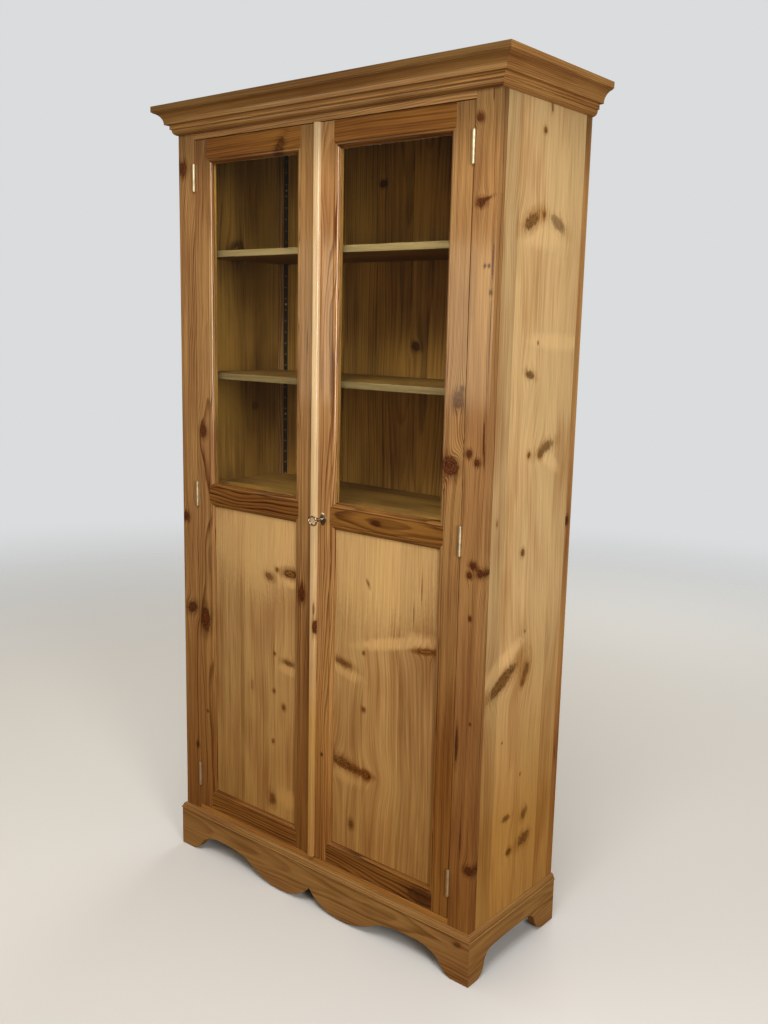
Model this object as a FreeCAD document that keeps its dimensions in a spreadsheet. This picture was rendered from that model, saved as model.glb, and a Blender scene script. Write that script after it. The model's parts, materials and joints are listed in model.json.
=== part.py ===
import FreeCAD, Part
import math
import os
import re
from types import SimpleNamespace
from FreeCAD import Placement, Rotation, Vector

# A two-door pine display cabinet: glazed doors above, panelled doors below, on a scalloped plinth.
# X runs to the right, Y to the back and Z up. The origin is on the floor, under the centre of the
# whole outline. All sizes are in millimetres.

SIZES = {
    # Case and its boards
    "total_height": 2000,
    "case_width": 976,
    "case_depth": 361,
    "side_thickness": 20,
    "board_thickness": 20,
    "housing_depth": 6,
    "frame_thickness": 25,
    "stile_width": 60,
    "frieze_show": 15.5,
    "bottom_rail_width": 30,
    "frame_tenon": 20,
    "post_width": 41,
    "post_depth": 25,
    "back_thickness": 9,
    "back_lap": 10,
    "back_board_gap": 1,
    "back_tongue": 5,
    "cornice_stand": 12,
    "notch_gap": 0.5,
    "fixed_shelf_drop": 2.5,
    "lower_shelf_height": 590,
    "lower_shelf_thickness": 18,
    "lower_shelf_setback": 20,
    # Cornice
    "cornice_height": 68,
    "cornice_overhang": 49,
    # Plinth and its moulding
    "plinth_height": 107,
    "plinth_thickness": 20,
    "plinth_proud": 10.5,
    "plinth_back_rise": 45,
    "front_foot": 50,
    "side_foot": 36,
    "rear_foot": 46,
    "arch_rise": 55,
    "side_arch_rise": 62,
    "base_mould_height": 16.2,
    "base_mould_reach": 12.5,
    "block_size": 28,
    "block_lift": 6,
    # Doors
    "door_gap": 2,
    "stop_gap": 0.5,
    "meeting_gap": 2,
    "hinge_stile_flat": 45,
    "left_meeting_flat": 44,
    "right_meeting_flat": 57,
    "top_rail_flat": 45,
    "lock_rail_flat": 35.5,
    "bottom_rail_flat": 42,
    "lock_rail_height": 1007,
    "mould_width": 14,
    "mould_sink": 7.4,
    "rebate_width": 8,
    "edge_play": 1,
    "glass_depth": 11,
    "glass_thickness": 3,
    "glazing_bead_width": 7,
    "panel_recess": 9,
    "panel_thickness": 9,
    "door_tenon": 30,
    "lock_tenon": 16,
    "tenon_thickness": 8,
    "tenon_setback": 4,
    "tenon_shoulder": 5,
    "cover_bead_width": 19.2,
    "cover_bead_proud": 10,
    "cover_bead_round": 6.5,
    # Hinges
    "hinge_height": 63.5,
    "hinge_inset": 89.5,
    "middle_hinge_rise": 15,
    "knuckle_radius": 4,
    "knuckle_proud": 3.4,
    "knuckle_gap": 0.3,
    "leaf_thickness": 1.6,
    "leaf_width": 18,
    "pin_radius": 2,
    "pin_head_radius": 3.2,
    "pin_head_height": 1.6,
    "screw_head_radius": 3,
    "screw_shank_radius": 1.5,
    "screw_length": 12,
    "hinge_screw_pitch": 21,
    # Lock and key
    "key_rise": 7,
    "key_setback": 34.6,
    "key_tilt": 28,
    "lock_case_width": 54,
    "lock_case_depth": 12,
    "lock_case_below": 13,
    "lock_case_above": 23,
    "lock_wall": 1.5,
    "lock_flange": 8,
    "lock_screw_spread": 34,
    "lock_bolt_height": 9,
    "lock_bolt_thickness": 6,
    "lock_bolt_length": 40,
    "lock_bolt_inset": 2,
    "lock_bolt_throw": 10,
    "bit_reach": 9.5,
    "bit_width": 6,
    "bit_thickness": 2.4,
    "shank_radius": 3.2,
    "key_proud": 48,
    "collar_radius": 4.6,
    "collar_length": 5,
    "bow_radius": 13.5,
    "bow_wire_radius": 2.3,
    "escutcheon_width": 22,
    "escutcheon_height": 32,
    "escutcheon_thickness": 1.6,
    "strike_length": 34,
    "strike_thickness": 1.5,
    "strike_width": 12,
    # Bolts of the left door
    "slide_plate_width": 20,
    "slide_plate_length": 62,
    "slide_plate_thickness": 2,
    "slide_plate_inset": 22,
    "slide_rod_radius": 3,
    "slide_rod_length": 84,
    "slide_rod_inset": 3,
    "slide_staple_length": 9,
    "slide_staple_wall": 2.4,
    "slide_knob_radius": 3,
    "slide_knob_length": 8,
    "slide_hole_gap": 0.6,
    # Shelves, their strips and clips
    "shelf_thickness": 16,
    "shelf_setback": 20,
    "shelf_play": 1.5,
    "strip_width": 15,
    "strip_thickness": 2,
    "strip_setback": 28,
    "strip_end_gap": 1,
    "slot_pitch": 31,
    "slot_rise": 4,
    "slot_height": 3.1,
    "slot_width": 9,
    "clip_reach": 12,
    "clip_thickness": 1.5,
    "clip_width": 11,
    "clip_leg": 13,
    # Play between pieces that stay put, and between pieces that move
    "fit_gap": 0.15,
    "running_gap": 0.3,
    # Cuts pass this much beyond what they cut
    "overrun": 3,
}

# Counts
BACK_BOARD_COUNT = 8
KNUCKLE_COUNT = 5
HINGE_SCREW_COUNT = 3

# Where the loose shelves and the strips' screws come, as shares of the strips' slots counted upwards
MIDDLE_SHELF_SHARE = 0.3
UPPER_SHELF_SHARE = 0.64
STRIP_SCREW_SHARES = (0.17, 0.5, 0.83)
# Where the hinge screws lie across a leaf's width
SCREW_LINE_SHARE = 0.55

# Places worked out from the sizes, each a formula in plain words.
PLACES = {
    "half_case": "case_width / 2",
    "side_face": "half_case - side_thickness",
    "opening_edge": "half_case - stile_width",
    "door_edge": "opening_edge - door_gap",
    "post_face": "half_case - post_width",
    "front": "(cornice_overhang - case_depth) / 2",
    "rear": "front + case_depth",
    "frame_back": "front + frame_thickness",
    "post_front": "rear - post_depth",
    "back_face": "rear - back_thickness",
    "door_thickness": "frame_thickness - stop_gap",
    "door_back": "front + door_thickness",
    "case_foot": "plinth_height",
    "case_top": "total_height - cornice_stand",
    "cornice_foot": "total_height - cornice_height",
    "opening_foot": "case_foot + bottom_rail_width",
    "opening_top": "cornice_foot - frieze_show",
    "door_foot": "opening_foot + door_gap",
    "door_top": "opening_top - door_gap",
    "lower_foot": "door_foot + bottom_rail_flat",
    "lower_top": "lock_rail_height",
    "upper_foot": "lock_rail_height + lock_rail_flat",
    "upper_top": "door_top - top_rail_flat",
    "plinth_inner_x": "half_case + plinth_proud - plinth_thickness",
    "plinth_inner_y": "front - plinth_proud + plinth_thickness",
    "rebate_start": "mould_width - rebate_width",
    "left_meeting_edge": "-(cover_bead_width / 2 + meeting_gap)",
    "right_meeting_edge": "-cover_bead_width / 2",
    "key_across": "right_meeting_edge + key_setback",
    "key_height": "lock_rail_height + key_rise",
    "hinge_axis_x": "(opening_edge + door_edge) / 2",
    "hinge_axis_y": "front - knuckle_proud",
    "low_hinge_height": "door_foot + hinge_inset",
    "middle_hinge_height": "lock_rail_height + middle_hinge_rise",
    "high_hinge_height": "door_top - hinge_inset",
    "key_start": "front - key_proud + 2 * bow_radius - bow_wire_radius",
    "lock_front": "door_back - lock_case_depth",
    "lock_bolt_low": "key_height + bit_reach + running_gap",
    "lock_bolt_y": "(lock_front + door_back) / 2",
    "slide_rod_y": "door_back + slide_plate_thickness + slide_rod_radius + running_gap",
    "slide_across": "left_meeting_edge - left_meeting_flat / 2",
    "fixed_shelf_top": "upper_foot - fixed_shelf_drop",
    "strip_foot": "fixed_shelf_top + strip_end_gap",
    "strip_head": "case_top - board_thickness - strip_end_gap",
    "front_strip_y": "frame_back + strip_setback",
    "rear_strip_y": "post_front + (post_depth - back_thickness - strip_width) / 2",
    "shelf_end": "side_face - strip_thickness - shelf_play",
    "shelf_front": "frame_back + shelf_setback",
    "first_slot_top": "strip_foot + slot_rise",
    "slot_count": "floor((strip_head - first_slot_top) / slot_pitch) + 1",
    "middle_shelf_foot": f"first_slot_top + slot_pitch * round(slot_count * {MIDDLE_SHELF_SHARE})",
    "upper_shelf_foot": f"first_slot_top + slot_pitch * round(slot_count * {UPPER_SHELF_SHARE})",
}

# Outlines. Each point is (across share, up share); a pair of points is an arc through the first
# to the second. The cornice is read from its foot against the case, in shares of its overhang
# and height.
CORNICE_SHARES = [
    (0.0, 0.0),
    ((0.18, 0.054), (0.25, 0.184)),
    (0.25, 0.206),
    (0.327, 0.206),
    (0.327, 0.36),
    (0.53, 0.368),
    ((0.633, 0.618), (0.94, 0.765)),
    (0.94, 0.794),
    (1.0, 0.794),
    (1.0, 1.0),
    (0.0, 1.0),
]

# The base moulding in shares of its reach and height: bead, groove, fillet, quirk and ovolo.
BASE_MOULD_SHARES = [
    (0.0, 0.0),
    (0.86, 0.0),
    ((1.0, 0.11), (0.86, 0.22)),
    (0.72, 0.22),
    (0.72, 0.30),
    (0.80, 0.30),
    (0.76, 0.49),
    (0.66, 0.49),
    (0.66, 0.55),
    ((0.49, 0.84), (0.06, 1.0)),
    (0.0, 1.0),
]

# The ovolo stuck on the door frame's inner edges, in shares of its width and sink, with a quirk.
OVOLO_SHARES = [
    (0.0, 0.0),
    (0.09, 0.0),
    (0.09, 0.30),
    (0.19, 0.30),
    ((0.22, 0.14), (0.32, 0.07)),
    ((0.66, 0.28), (0.86, 0.84)),
    (0.86, 1.0),
    (1.0, 1.0),
]

# The glazing bead's rounded inner edge in shares of its width and depth.
GLAZING_BEAD_SHARES = [
    (0.0, 0.0),
    (1.0, 0.0),
    (1.0, 0.30),
    ((0.80, 0.80), (0.30, 1.0)),
    (0.0, 1.0),
]

# Half of the front apron from the centre cusp to the foot, in shares of half the board's width
# less its foot, and of the arch's rise.
FRONT_APRON_SHARES = [
    (0.0, 0.91),
    ((0.045, 0.55), (0.127, 0.22)),
    ((0.232, 0.08), (0.346, 0.18)),
    ((0.43, 0.42), (0.513, 0.773)),
    ((0.62, 0.965), (0.735, 1.0)),
    ((0.835, 0.93), (0.915, 0.62)),
    ((0.955, 0.20), (1.0, 0.0)),
]

# Side apron between its two feet, in shares of the arch's length and rise.
SIDE_APRON_SHARES = [
    (0.0, 0.0),
    ((0.06, 0.16), (0.094, 0.50)),
    ((0.14, 0.86), (0.22, 0.97)),
    ((0.47, 1.0), (0.72, 0.97)),
    ((0.80, 0.86), (0.86, 0.50)),
    ((0.91, 0.16), (1.0, 0.0)),
]

document = FreeCAD.newDocument("DisplayCabinet")


def fill_sheet(name, entries, lead):
    """Writes one named cell per entry and returns the sheet."""
    sheet = document.addObject("Spreadsheet::Sheet", name)
    for row, (alias, content) in enumerate(entries.items(), start=1):
        sheet.set(f"A{row}", alias)
        sheet.set(f"B{row}", lead(content))
        sheet.setAlias(f"B{row}", alias)
    return sheet


def linked(formula):
    """The same formula with each size or place led to its cell."""
    def cell(word):
        name = word.group()
        if name in SIZES:
            return "Sizes." + name
        if name in PLACES:
            return "Places." + name
        return name
    return re.sub(r"[a-z][a-z_]*", cell, formula)


sizes_sheet = fill_sheet("Sizes", SIZES, str)
document.recompute()
places_sheet = fill_sheet("Places", PLACES, lambda formula: "=" + linked(formula).replace("Places.", ""))
document.recompute()

size = SimpleNamespace(**{name: float(sizes_sheet.get(name)) for name in SIZES})
place = SimpleNamespace(**{name: float(places_sheet.get(name)) for name in PLACES})
sub_parts = []


def bind(item, **formulas):
    """Ties properties to formulas. Placement's x, y and z are given as at_x, at_y and at_z."""
    for name, formula in formulas.items():
        path = name.replace("at_", "Placement.Base.") if name.startswith("at_") else name
        item.setExpression(path, linked(formula))
    return item


def keep(item, label):
    """Names a finished sub-part."""
    item.Label = label
    sub_parts.append(item)
    return item


def box(x, y, z):
    """A board or block between two limits on each axis."""
    item = document.addObject("Part::Box", "Board")
    bind(item, at_x=x[0], at_y=y[0], at_z=z[0])
    bind(item, Length=f"({x[1]}) - ({x[0]})", Width=f"({y[1]}) - ({y[0]})", Height=f"({z[1]}) - ({z[0]})")
    return item


TURNS = {
    "x": Rotation(Vector(0, 1, 0), 90),
    "y": Rotation(Vector(1, 0, 0), -90),
    "z": Rotation(),
    "-y": Rotation(Vector(1, 0, 0), 90),
    "-x": Rotation(Vector(0, 1, 0), -90),
}


def rod(radius, length, x, y, z, along="z"):
    """A round bar from a point along an axis."""
    item = document.addObject("Part::Cylinder", "Rod")
    item.Placement = Placement(Vector(), TURNS[along])
    return bind(item, Radius=radius, Height=length, at_x=x, at_y=y, at_z=z)


def cone(start_radius, end_radius, length, x, y, z, along):
    """A tapered round bar from a point along an axis."""
    item = document.addObject("Part::Cone", "Taper")
    item.Placement = Placement(Vector(), TURNS[along])
    return bind(item, Radius1=start_radius, Radius2=end_radius, Height=length, at_x=x, at_y=y, at_z=z)


def fuse(*pieces):
    """One solid out of several that meet."""
    item = document.addObject("Part::MultiFuse", "Joined")
    item.Shapes = list(pieces)
    item.Refine = True
    return item


def group(*pieces):
    """Separate solids held together as one object."""
    item = document.addObject("Part::Compound", "Group")
    item.Links = list(pieces)
    return item


def cut(piece, *tools):
    """A piece less its cuts."""
    item = document.addObject("Part::Cut", "Cut")
    item.Base = piece
    item.Tool = tools[0] if len(tools) == 1 else fuse(*tools)
    return item


def common(first, second):
    """What two shapes share."""
    item = document.addObject("Part::Common", "Shared")
    item.Base = first
    item.Tool = second
    return item


def outline(points, plane):
    """A closed sketch through points, where a pair of points is an arc to the second by the first."""
    sketch = document.addObject("Sketcher::SketchObject", "Outline")
    sketch.Placement = Placement(Vector(), plane)
    here = points[0]
    for point in points[1:] + points[:1]:
        if isinstance(point[0], tuple):
            middle, end = point
            arc = Part.Arc(Vector(*here), Vector(*middle), Vector(*end))
            sketch.addGeometry(arc, False)
            here = end
        else:
            sketch.addGeometry(Part.LineSegment(Vector(*here), Vector(*point)), False)
            here = point
    return sketch


def pushed(sketch, direction, length, length_back="0"):
    """A solid pushed out of a sketch along one axis, and back from it."""
    solid = document.addObject("Part::Extrusion", "Pushed")
    solid.Base = sketch
    solid.DirMode = "Custom"
    solid.Dir = direction
    solid.Solid = True
    return bind(solid, LengthFwd=length, LengthRev=length_back)


def moved(points, across, up):
    """Outline points, each moved by the same amount."""
    def point(old):
        if isinstance(old[0], tuple):
            return tuple(point(each) for each in old)
        return (old[0] + across, old[1] + up)
    return [point(old) for old in points]


def scaled(shares, across, up):
    """Outline points in millimetres from points in shares."""
    def point(share):
        if isinstance(share[0], tuple):
            return tuple(point(each) for each in share)
        return (share[0] * across, share[1] * up)
    return [point(share) for share in shares]


def flipped(points, length):
    """An outline turned end for end along its length, in the same sense again."""
    def turned(point):
        return (length - point[0], point[1])
    ends = [point[1] if isinstance(point[0], tuple) else point for point in points]
    middles = [point[0] if isinstance(point[0], tuple) else None for point in points]
    back = [turned(ends[-1])]
    for middle, end in zip(reversed(middles[1:]), reversed(ends[:-1])):
        back.append((turned(middle), turned(end)) if middle else turned(end))
    return back


# A sketch drawn across a run: its x goes outwards (the run's y) and its y goes up (the run's z).
ACROSS = Rotation(Vector(1, 1, 1), 120)
# A sketch drawn on the face of a board: its x goes along the run and its y goes up.
ON_FACE = Rotation(Vector(1, 0, 0), 90)


def mitre(length, reach, low, high, start_grow, end_grow):
    """The block that trims a run: square at its inner face, longer or shorter at its outer face."""
    wedge = document.addObject("Part::Wedge", "Mitre")
    bind(wedge, Xmin="0", Xmax=length, X2min=f"-({start_grow})", X2max=f"({length}) + ({end_grow})")
    bind(wedge, Ymin="0", Ymax=reach, Zmin=low, Zmax=high, Z2min=low, Z2max=high)
    return wedge


def moulding(points, length, reach, low, high, start_grow, end_grow):
    """A moulding along x, drawn across, and trimmed to its mitres."""
    blank = pushed(outline(points, ACROSS), Vector(1, 0, 0), f"({length}) + ({reach})", reach)
    return common(blank, mitre(length, reach, low, high, start_grow, end_grow))


def set_down(item, turn, x, y, z):
    """Puts a run where it belongs."""
    item.Placement = Placement(Vector(), turn)
    return bind(item, at_x=x, at_y=y, at_z=z)


def spin(degrees):
    """A turn about the upright axis."""
    return Rotation(Vector(0, 0, 1), degrees)


def on_side(side, near, far):
    """Limits on x for the right side, mirrored for the left."""
    return (near, far) if side == "right" else (f"-({far})", f"-({near})")


def sign(side):
    """The side's direction on x, as text for a formula."""
    return "1" if side == "right" else "-1"


def spread(middle, width):
    """Limits to each side of a middle."""
    return (f"{middle} - ({width}) / 2", f"{middle} + ({width}) / 2")


def screws(places, along):
    """Countersunk screws from points on a face into the wood."""
    pieces = []
    for x, y, z in places:
        head = cone("screw_head_radius", "screw_shank_radius", "leaf_thickness", x, y, z, along)
        shank = rod("screw_shank_radius", "screw_length", x, y, z, along)
        pieces.append(fuse(head, shank))
    return pieces


# Hinges: heights, leaves, pins and screws, worked out once for both sides.
HINGE_HEIGHTS = ("low_hinge_height", "middle_hinge_height", "high_hinge_height")


def hinge_screw_places(x):
    """Screw places on a leaf's face, in a line down each leaf."""
    middle = (HINGE_SCREW_COUNT - 1) / 2
    across = f"front + leaf_width * {SCREW_LINE_SHARE}"
    return [
        (x, across, f"{height} + hinge_screw_pitch * {index - middle}")
        for height in HINGE_HEIGHTS
        for index in range(HINGE_SCREW_COUNT)
    ]


def hinge_leaf(side, height, plate_x, first_knuckle, screw_group):
    """One leaf: a plate let into the wood, its knuckles and the tongues between them."""
    axis = f"{sign(side)} * hinge_axis_x"
    foot = f"{height} - hinge_height / 2"
    plate = box(
        plate_x,
        ("hinge_axis_y + knuckle_radius + knuckle_gap", "front + leaf_width"),
        (foot, f"{foot} + hinge_height"),
    )
    pieces = [plate]
    pitch = f"hinge_height / {KNUCKLE_COUNT}"
    for index in range(first_knuckle, KNUCKLE_COUNT, 2):
        low = f"{foot} + {pitch} * {index} + knuckle_gap / 2"
        high = f"{foot} + {pitch} * {index + 1} - knuckle_gap / 2"
        pieces.append(rod("knuckle_radius", f"{pitch} - knuckle_gap", axis, "hinge_axis_y", low))
        pieces.append(box(plate_x, ("hinge_axis_y", "front + leaf_width / 2"), (low, high)))
    bore = rod(
        "pin_radius + knuckle_gap", "hinge_height + 2 * overrun", axis, "hinge_axis_y", f"{foot} - overrun"
    )
    return cut(fuse(*pieces), bore, screw_group)


def hinge_pin(side, height):
    """A pin with a small flat head at each end."""
    axis = f"{sign(side)} * hinge_axis_x"
    foot = f"{height} - hinge_height / 2"
    shank = rod("pin_radius", "hinge_height", axis, "hinge_axis_y", foot)
    lower = rod("pin_head_radius", "pin_head_height", axis, "hinge_axis_y", f"{foot} - pin_head_height")
    upper = rod("pin_head_radius", "pin_head_height", axis, "hinge_axis_y", f"{foot} + hinge_height")
    return fuse(shank, lower, upper)


def hinge_room(side, plate_x, height):
    """What a leaf and the knuckles take out of the wood."""
    axis = f"{sign(side)} * hinge_axis_x"
    foot = f"{height} - hinge_height / 2"
    slot = box(plate_x, ("front - overrun", "front + leaf_width"), (foot, f"{foot} + hinge_height"))
    barrel = rod(
        "knuckle_radius + knuckle_gap",
        "hinge_height + 2 * (pin_head_height + knuckle_gap)",
        axis,
        "hinge_axis_y",
        f"{foot} - pin_head_height - knuckle_gap",
    )
    return [slot, barrel]


# The four shelf strips: side, the face that each lies on and where it starts from the front.
STRIP_LINES = [
    (side, face, depth)
    for side in ("left", "right")
    for face, depth in (("side_face", "front_strip_y"), ("post_face", "rear_strip_y"))
]

# The fixed boards: front edge, underside and top.
BOARDS = {
    "bottom_board": ("frame_back", "opening_foot - board_thickness", "opening_foot"),
    "lower_shelf": (
        "frame_back + lower_shelf_setback",
        "lower_shelf_height - lower_shelf_thickness",
        "lower_shelf_height",
    ),
    "fixed_shelf": ("frame_back", "fixed_shelf_top - board_thickness", "fixed_shelf_top"),
    "top_board": ("frame_back", "case_top - board_thickness", "case_top"),
}

CASE_HEIGHT = ("case_foot", "case_top")


def make_case_screws():
    """Screws of the frame's hinge leaves and of the shelf strips."""
    pieces = []
    for side in ("left", "right"):
        places = hinge_screw_places(f"{sign(side)} * opening_edge")
        for where, face, depth in STRIP_LINES:
            if where == side:
                x = f"{sign(side)} * ({face} - strip_thickness)"
                y = f"{depth} + strip_width / 2"
                # Each screw lies midway between two slots
                foot = "first_slot_top - slot_height / 2 + slot_pitch / 2"
                places += [
                    (x, y, f"{foot} + slot_pitch * round(slot_count * {share})")
                    for share in STRIP_SCREW_SHARES
                ]
        pieces += screws(places, "x" if side == "right" else "-x")
    return keep(group(*pieces), "carcass_screws")


def make_strips(screw_group):
    """Shelf strips with a slot at each pitch."""
    strips = []
    for side, face, depth in STRIP_LINES:
        strip = box(
            on_side(side, f"{face} - strip_thickness", face),
            (depth, f"{depth} + strip_width"),
            ("strip_foot", "strip_head"),
        )
        slots = [
            box(
                on_side(side, f"{face} - strip_thickness - overrun", f"{face} + overrun"),
                spread(f"{depth} + strip_width / 2", "slot_width"),
                (
                    f"first_slot_top + slot_pitch * {index} - slot_height",
                    f"first_slot_top + slot_pitch * {index}",
                ),
            )
            for index in range(int(place.slot_count))
        ]
        strips.append(cut(strip, group(*slots), screw_group))
    keep(group(*strips), "shelf_strips")


def make_clips():
    """Clips hooked into the strips' slots under each loose shelf."""
    clips = []
    for foot in ("middle_shelf_foot", "upper_shelf_foot"):
        for side, face, depth in STRIP_LINES:
            seat = f"{face} - strip_thickness"
            middle = f"{depth} + strip_width / 2"
            tongue = box(
                on_side(side, f"{seat} - clip_reach", seat),
                spread(middle, "clip_width"),
                (f"{foot} - clip_thickness", foot),
            )
            leg = box(
                on_side(side, f"{seat} - clip_thickness", seat),
                spread(middle, "clip_width"),
                (f"{foot} - clip_leg", foot),
            )
            hook = box(
                on_side(side, f"{seat} - clip_thickness", face),
                spread(middle, "slot_width - 2 * fit_gap"),
                (f"{foot} - slot_height + fit_gap", f"{foot} - fit_gap"),
            )
            clips.append(fuse(tongue, leg, hook))
    keep(group(*clips), "shelf_clips")


def make_sides(screw_group):
    """Sides with housings for the fixed boards, and the rear posts with a rebate for the back."""
    for side in ("left", "right"):
        panel = box(on_side(side, "side_face", "half_case"), ("frame_back", "post_front"), CASE_HEIGHT)
        grooves = [
            box(
                on_side(side, "side_face - overrun", "side_face + housing_depth"),
                ("frame_back - overrun", "post_front + overrun"),
                (foot, top),
            )
            for _, foot, top in BOARDS.values()
        ]
        keep(cut(panel, *grooves, screw_group), f"{side}_side")
        post = box(on_side(side, "post_face", "half_case"), ("post_front", "rear"), CASE_HEIGHT)
        rebate = box(
            on_side(side, "post_face - overrun", "post_face + back_lap"),
            ("back_face", "rear + overrun"),
            ("case_foot - overrun", "case_top + overrun"),
        )
        keep(cut(post, rebate, screw_group), f"{side}_rear_post")


def make_boards():
    """Fixed boards, notched round the rear posts."""
    across = ("-side_face - housing_depth", "side_face + housing_depth")
    for label, (near, foot, top) in BOARDS.items():
        board = box(across, (near, "back_face"), (foot, top))
        cuts = [
            box(
                on_side(side, "post_face - notch_gap", "half_case"),
                ("post_front - notch_gap", "rear"),
                (f"{foot} - overrun", f"{top} + overrun"),
            )
            for side in ("left", "right")
        ]
        if label == "bottom_board":
            # The lower slide bolt drops into this hole
            radius = "slide_rod_radius + slide_hole_gap"
            length = "board_thickness + 2 * overrun"
            cuts.append(rod(radius, length, "slide_across", "slide_rod_y", f"{foot} - overrun"))
        keep(cut(board, *cuts), label)


def make_face_frame(screw_group):
    """Face frame: stiles at full height, rails tenoned between them."""
    rails = {"bottom_face_rail": ("case_foot", "opening_foot"), "top_face_rail": ("opening_top", "case_top")}
    tenon_depth = spread("(front + frame_back) / 2", "tenon_thickness")
    for side in ("left", "right"):
        stile = box(on_side(side, "opening_edge", "half_case"), ("front", "frame_back"), CASE_HEIGHT)
        cuts = [
            box(on_side(side, "opening_edge - overrun", "opening_edge + frame_tenon"), tenon_depth, limits)
            for limits in rails.values()
        ]
        for height in HINGE_HEIGHTS:
            plate_x = on_side(side, "opening_edge - overrun", "opening_edge + leaf_thickness")
            cuts += hinge_room(side, plate_x, height)
        keep(cut(stile, *cuts, screw_group), f"{side}_face_stile")
    for label, limits in rails.items():
        rail = box(("-opening_edge", "opening_edge"), ("front", "frame_back"), limits)
        tenon_end = "opening_edge + frame_tenon - fit_gap"
        keep(fuse(rail, box((f"-({tenon_end})", tenon_end), tenon_depth, limits)), label)


def make_back():
    """Back boards, tongued side by side between the rear posts."""
    boards = []
    pitch = f"(2 * (post_face + back_lap) / {BACK_BOARD_COUNT})"
    joint_depth = spread("back_face + back_thickness / 2", "back_thickness / 3")
    for index in range(BACK_BOARD_COUNT):
        low = f"-post_face - back_lap + {pitch} * {index} + back_board_gap / 2"
        high = f"-post_face - back_lap + {pitch} * {index + 1} - back_board_gap / 2"
        board = box((low, high), ("back_face", "rear"), CASE_HEIGHT)
        if index < BACK_BOARD_COUNT - 1:
            board = fuse(board, box((high, f"{high} + back_tongue"), joint_depth, CASE_HEIGHT))
        if index > 0:
            groove = box(
                (f"{low} - back_board_gap", f"{low} + back_tongue"),
                joint_depth,
                ("case_foot - overrun", "case_top + overrun"),
            )
            board = cut(board, groove)
        boards.append(board)
    keep(group(*boards), "back_boards")


def make_case_hinges(screw_group):
    """Hinge leaves on the face stiles, and the pins."""
    leaves = []
    pins = []
    for side in ("left", "right"):
        plate_x = on_side(side, "opening_edge", "opening_edge + leaf_thickness")
        for height in HINGE_HEIGHTS:
            leaves.append(hinge_leaf(side, height, plate_x, 0, screw_group))
            pins.append(hinge_pin(side, height))
    keep(group(*leaves), "frame_hinge_leaves")
    keep(group(*pins), "hinge_pins")


def make_surround(points, reach, height, foot, label):
    """A moulding round the front and both sides of the case, mitred at the front corners."""
    limits = (reach, "-overrun", f"{height} + overrun")
    front = moulding(points, "case_width", *limits, reach, reach)
    keep(set_down(front, spin(180), "half_case", "front", foot), f"{label}_front")
    left = moulding(points, "case_depth", *limits, reach, "0")
    keep(set_down(left, spin(90), "-half_case", "front", foot), f"{label}_left")
    right = moulding(points, "case_depth", *limits, "0", reach)
    keep(set_down(right, spin(-90), "half_case", "rear", foot), f"{label}_right")


def make_cornice():
    """The cornice."""
    points = scaled(CORNICE_SHARES, size.cornice_overhang, size.cornice_height)
    make_surround(points, "cornice_overhang", "cornice_height", "cornice_foot", "cornice")


def make_base_moulding():
    """The small moulding that lies on the plinth's top edge."""
    points = scaled(BASE_MOULD_SHARES, size.base_mould_reach, size.base_mould_height)
    make_surround(points, "base_mould_reach", "base_mould_height", "plinth_height", "base_moulding")


def apron(face, length, start_grow, end_grow):
    """A plinth board cut to its outline, with its inner face at zero and mitred ends."""
    blank = pushed(outline(face, ON_FACE), Vector(0, 1, 0), "plinth_thickness + overrun", "overrun")
    return common(blank, mitre(length, "plinth_thickness", "0", "plinth_height", start_grow, end_grow))


def make_plinth():
    """Scalloped boards under the case, mitred at the front corners."""
    thickness = size.plinth_thickness
    top = size.plinth_height
    reach = place.plinth_inner_x + thickness
    half = scaled(FRONT_APRON_SHARES, reach - size.front_foot, size.arch_rise)
    face = [(-reach, 0.0)] + flipped(half, 0.0) + half[1:] + [(reach, 0.0), (reach, top), (-reach, top)]
    face = moved(face, place.plinth_inner_x, 0.0)
    front = apron(face, "2 * plinth_inner_x", "plinth_thickness", "plinth_thickness")
    keep(set_down(front, spin(180), "plinth_inner_x", "plinth_inner_y", "0"), "plinth_front")

    length = place.rear - place.plinth_inner_y
    arch_length = length + thickness - size.rear_foot - size.side_foot
    arch = scaled(SIDE_APRON_SHARES, arch_length, size.side_arch_rise)
    arch = moved(arch, size.side_foot - thickness, 0.0)
    face = [(-thickness, 0.0)] + arch + [(length, 0.0), (length, top), (-thickness, top)]
    left = apron(face, "rear - plinth_inner_y", "plinth_thickness", "0")
    keep(set_down(left, spin(90), "-plinth_inner_x", "plinth_inner_y", "0"), "plinth_left")
    right = apron(flipped(face, length), "rear - plinth_inner_y", "0", "plinth_thickness")
    keep(set_down(right, spin(-90), "plinth_inner_x", "rear", "0"), "plinth_right")

    inner_x = ("-plinth_inner_x", "plinth_inner_x")
    back = box(inner_x, ("rear - plinth_thickness", "rear"), ("plinth_back_rise", "plinth_height"))
    keep(back, "plinth_back")


def make_blocks():
    """Glue blocks in the plinth's corners, and two behind the middle of its front."""
    front_y = ("plinth_inner_y", "plinth_inner_y + block_size")
    rear_y = ("rear - plinth_thickness - block_size", "rear - plinth_thickness")
    blocks = []
    for side in ("left", "right"):
        corner_x = on_side(side, "plinth_inner_x - block_size", "plinth_inner_x")
        for limits in (front_y, rear_y):
            blocks.append(box(corner_x, limits, ("block_lift", "plinth_height")))
        middle_x = on_side(side, "block_size", "3 * block_size")
        blocks.append(box(middle_x, front_y, ("plinth_height - block_size", "plinth_height")))
    keep(group(*blocks), "corner_blocks")


# The four edges of an opening: how the run turns, and whether it starts low or high in x and z.
EDGES = {
    "foot": (Rotation(), 0, 0),
    "head": (Rotation(Vector(0, 1, 0), 180), 1, 1),
    "left": (Rotation(Vector(0, 1, 0), 90), 0, 1),
    "right": (Rotation(Vector(0, 1, 0), -90), 1, 0),
}


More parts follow.
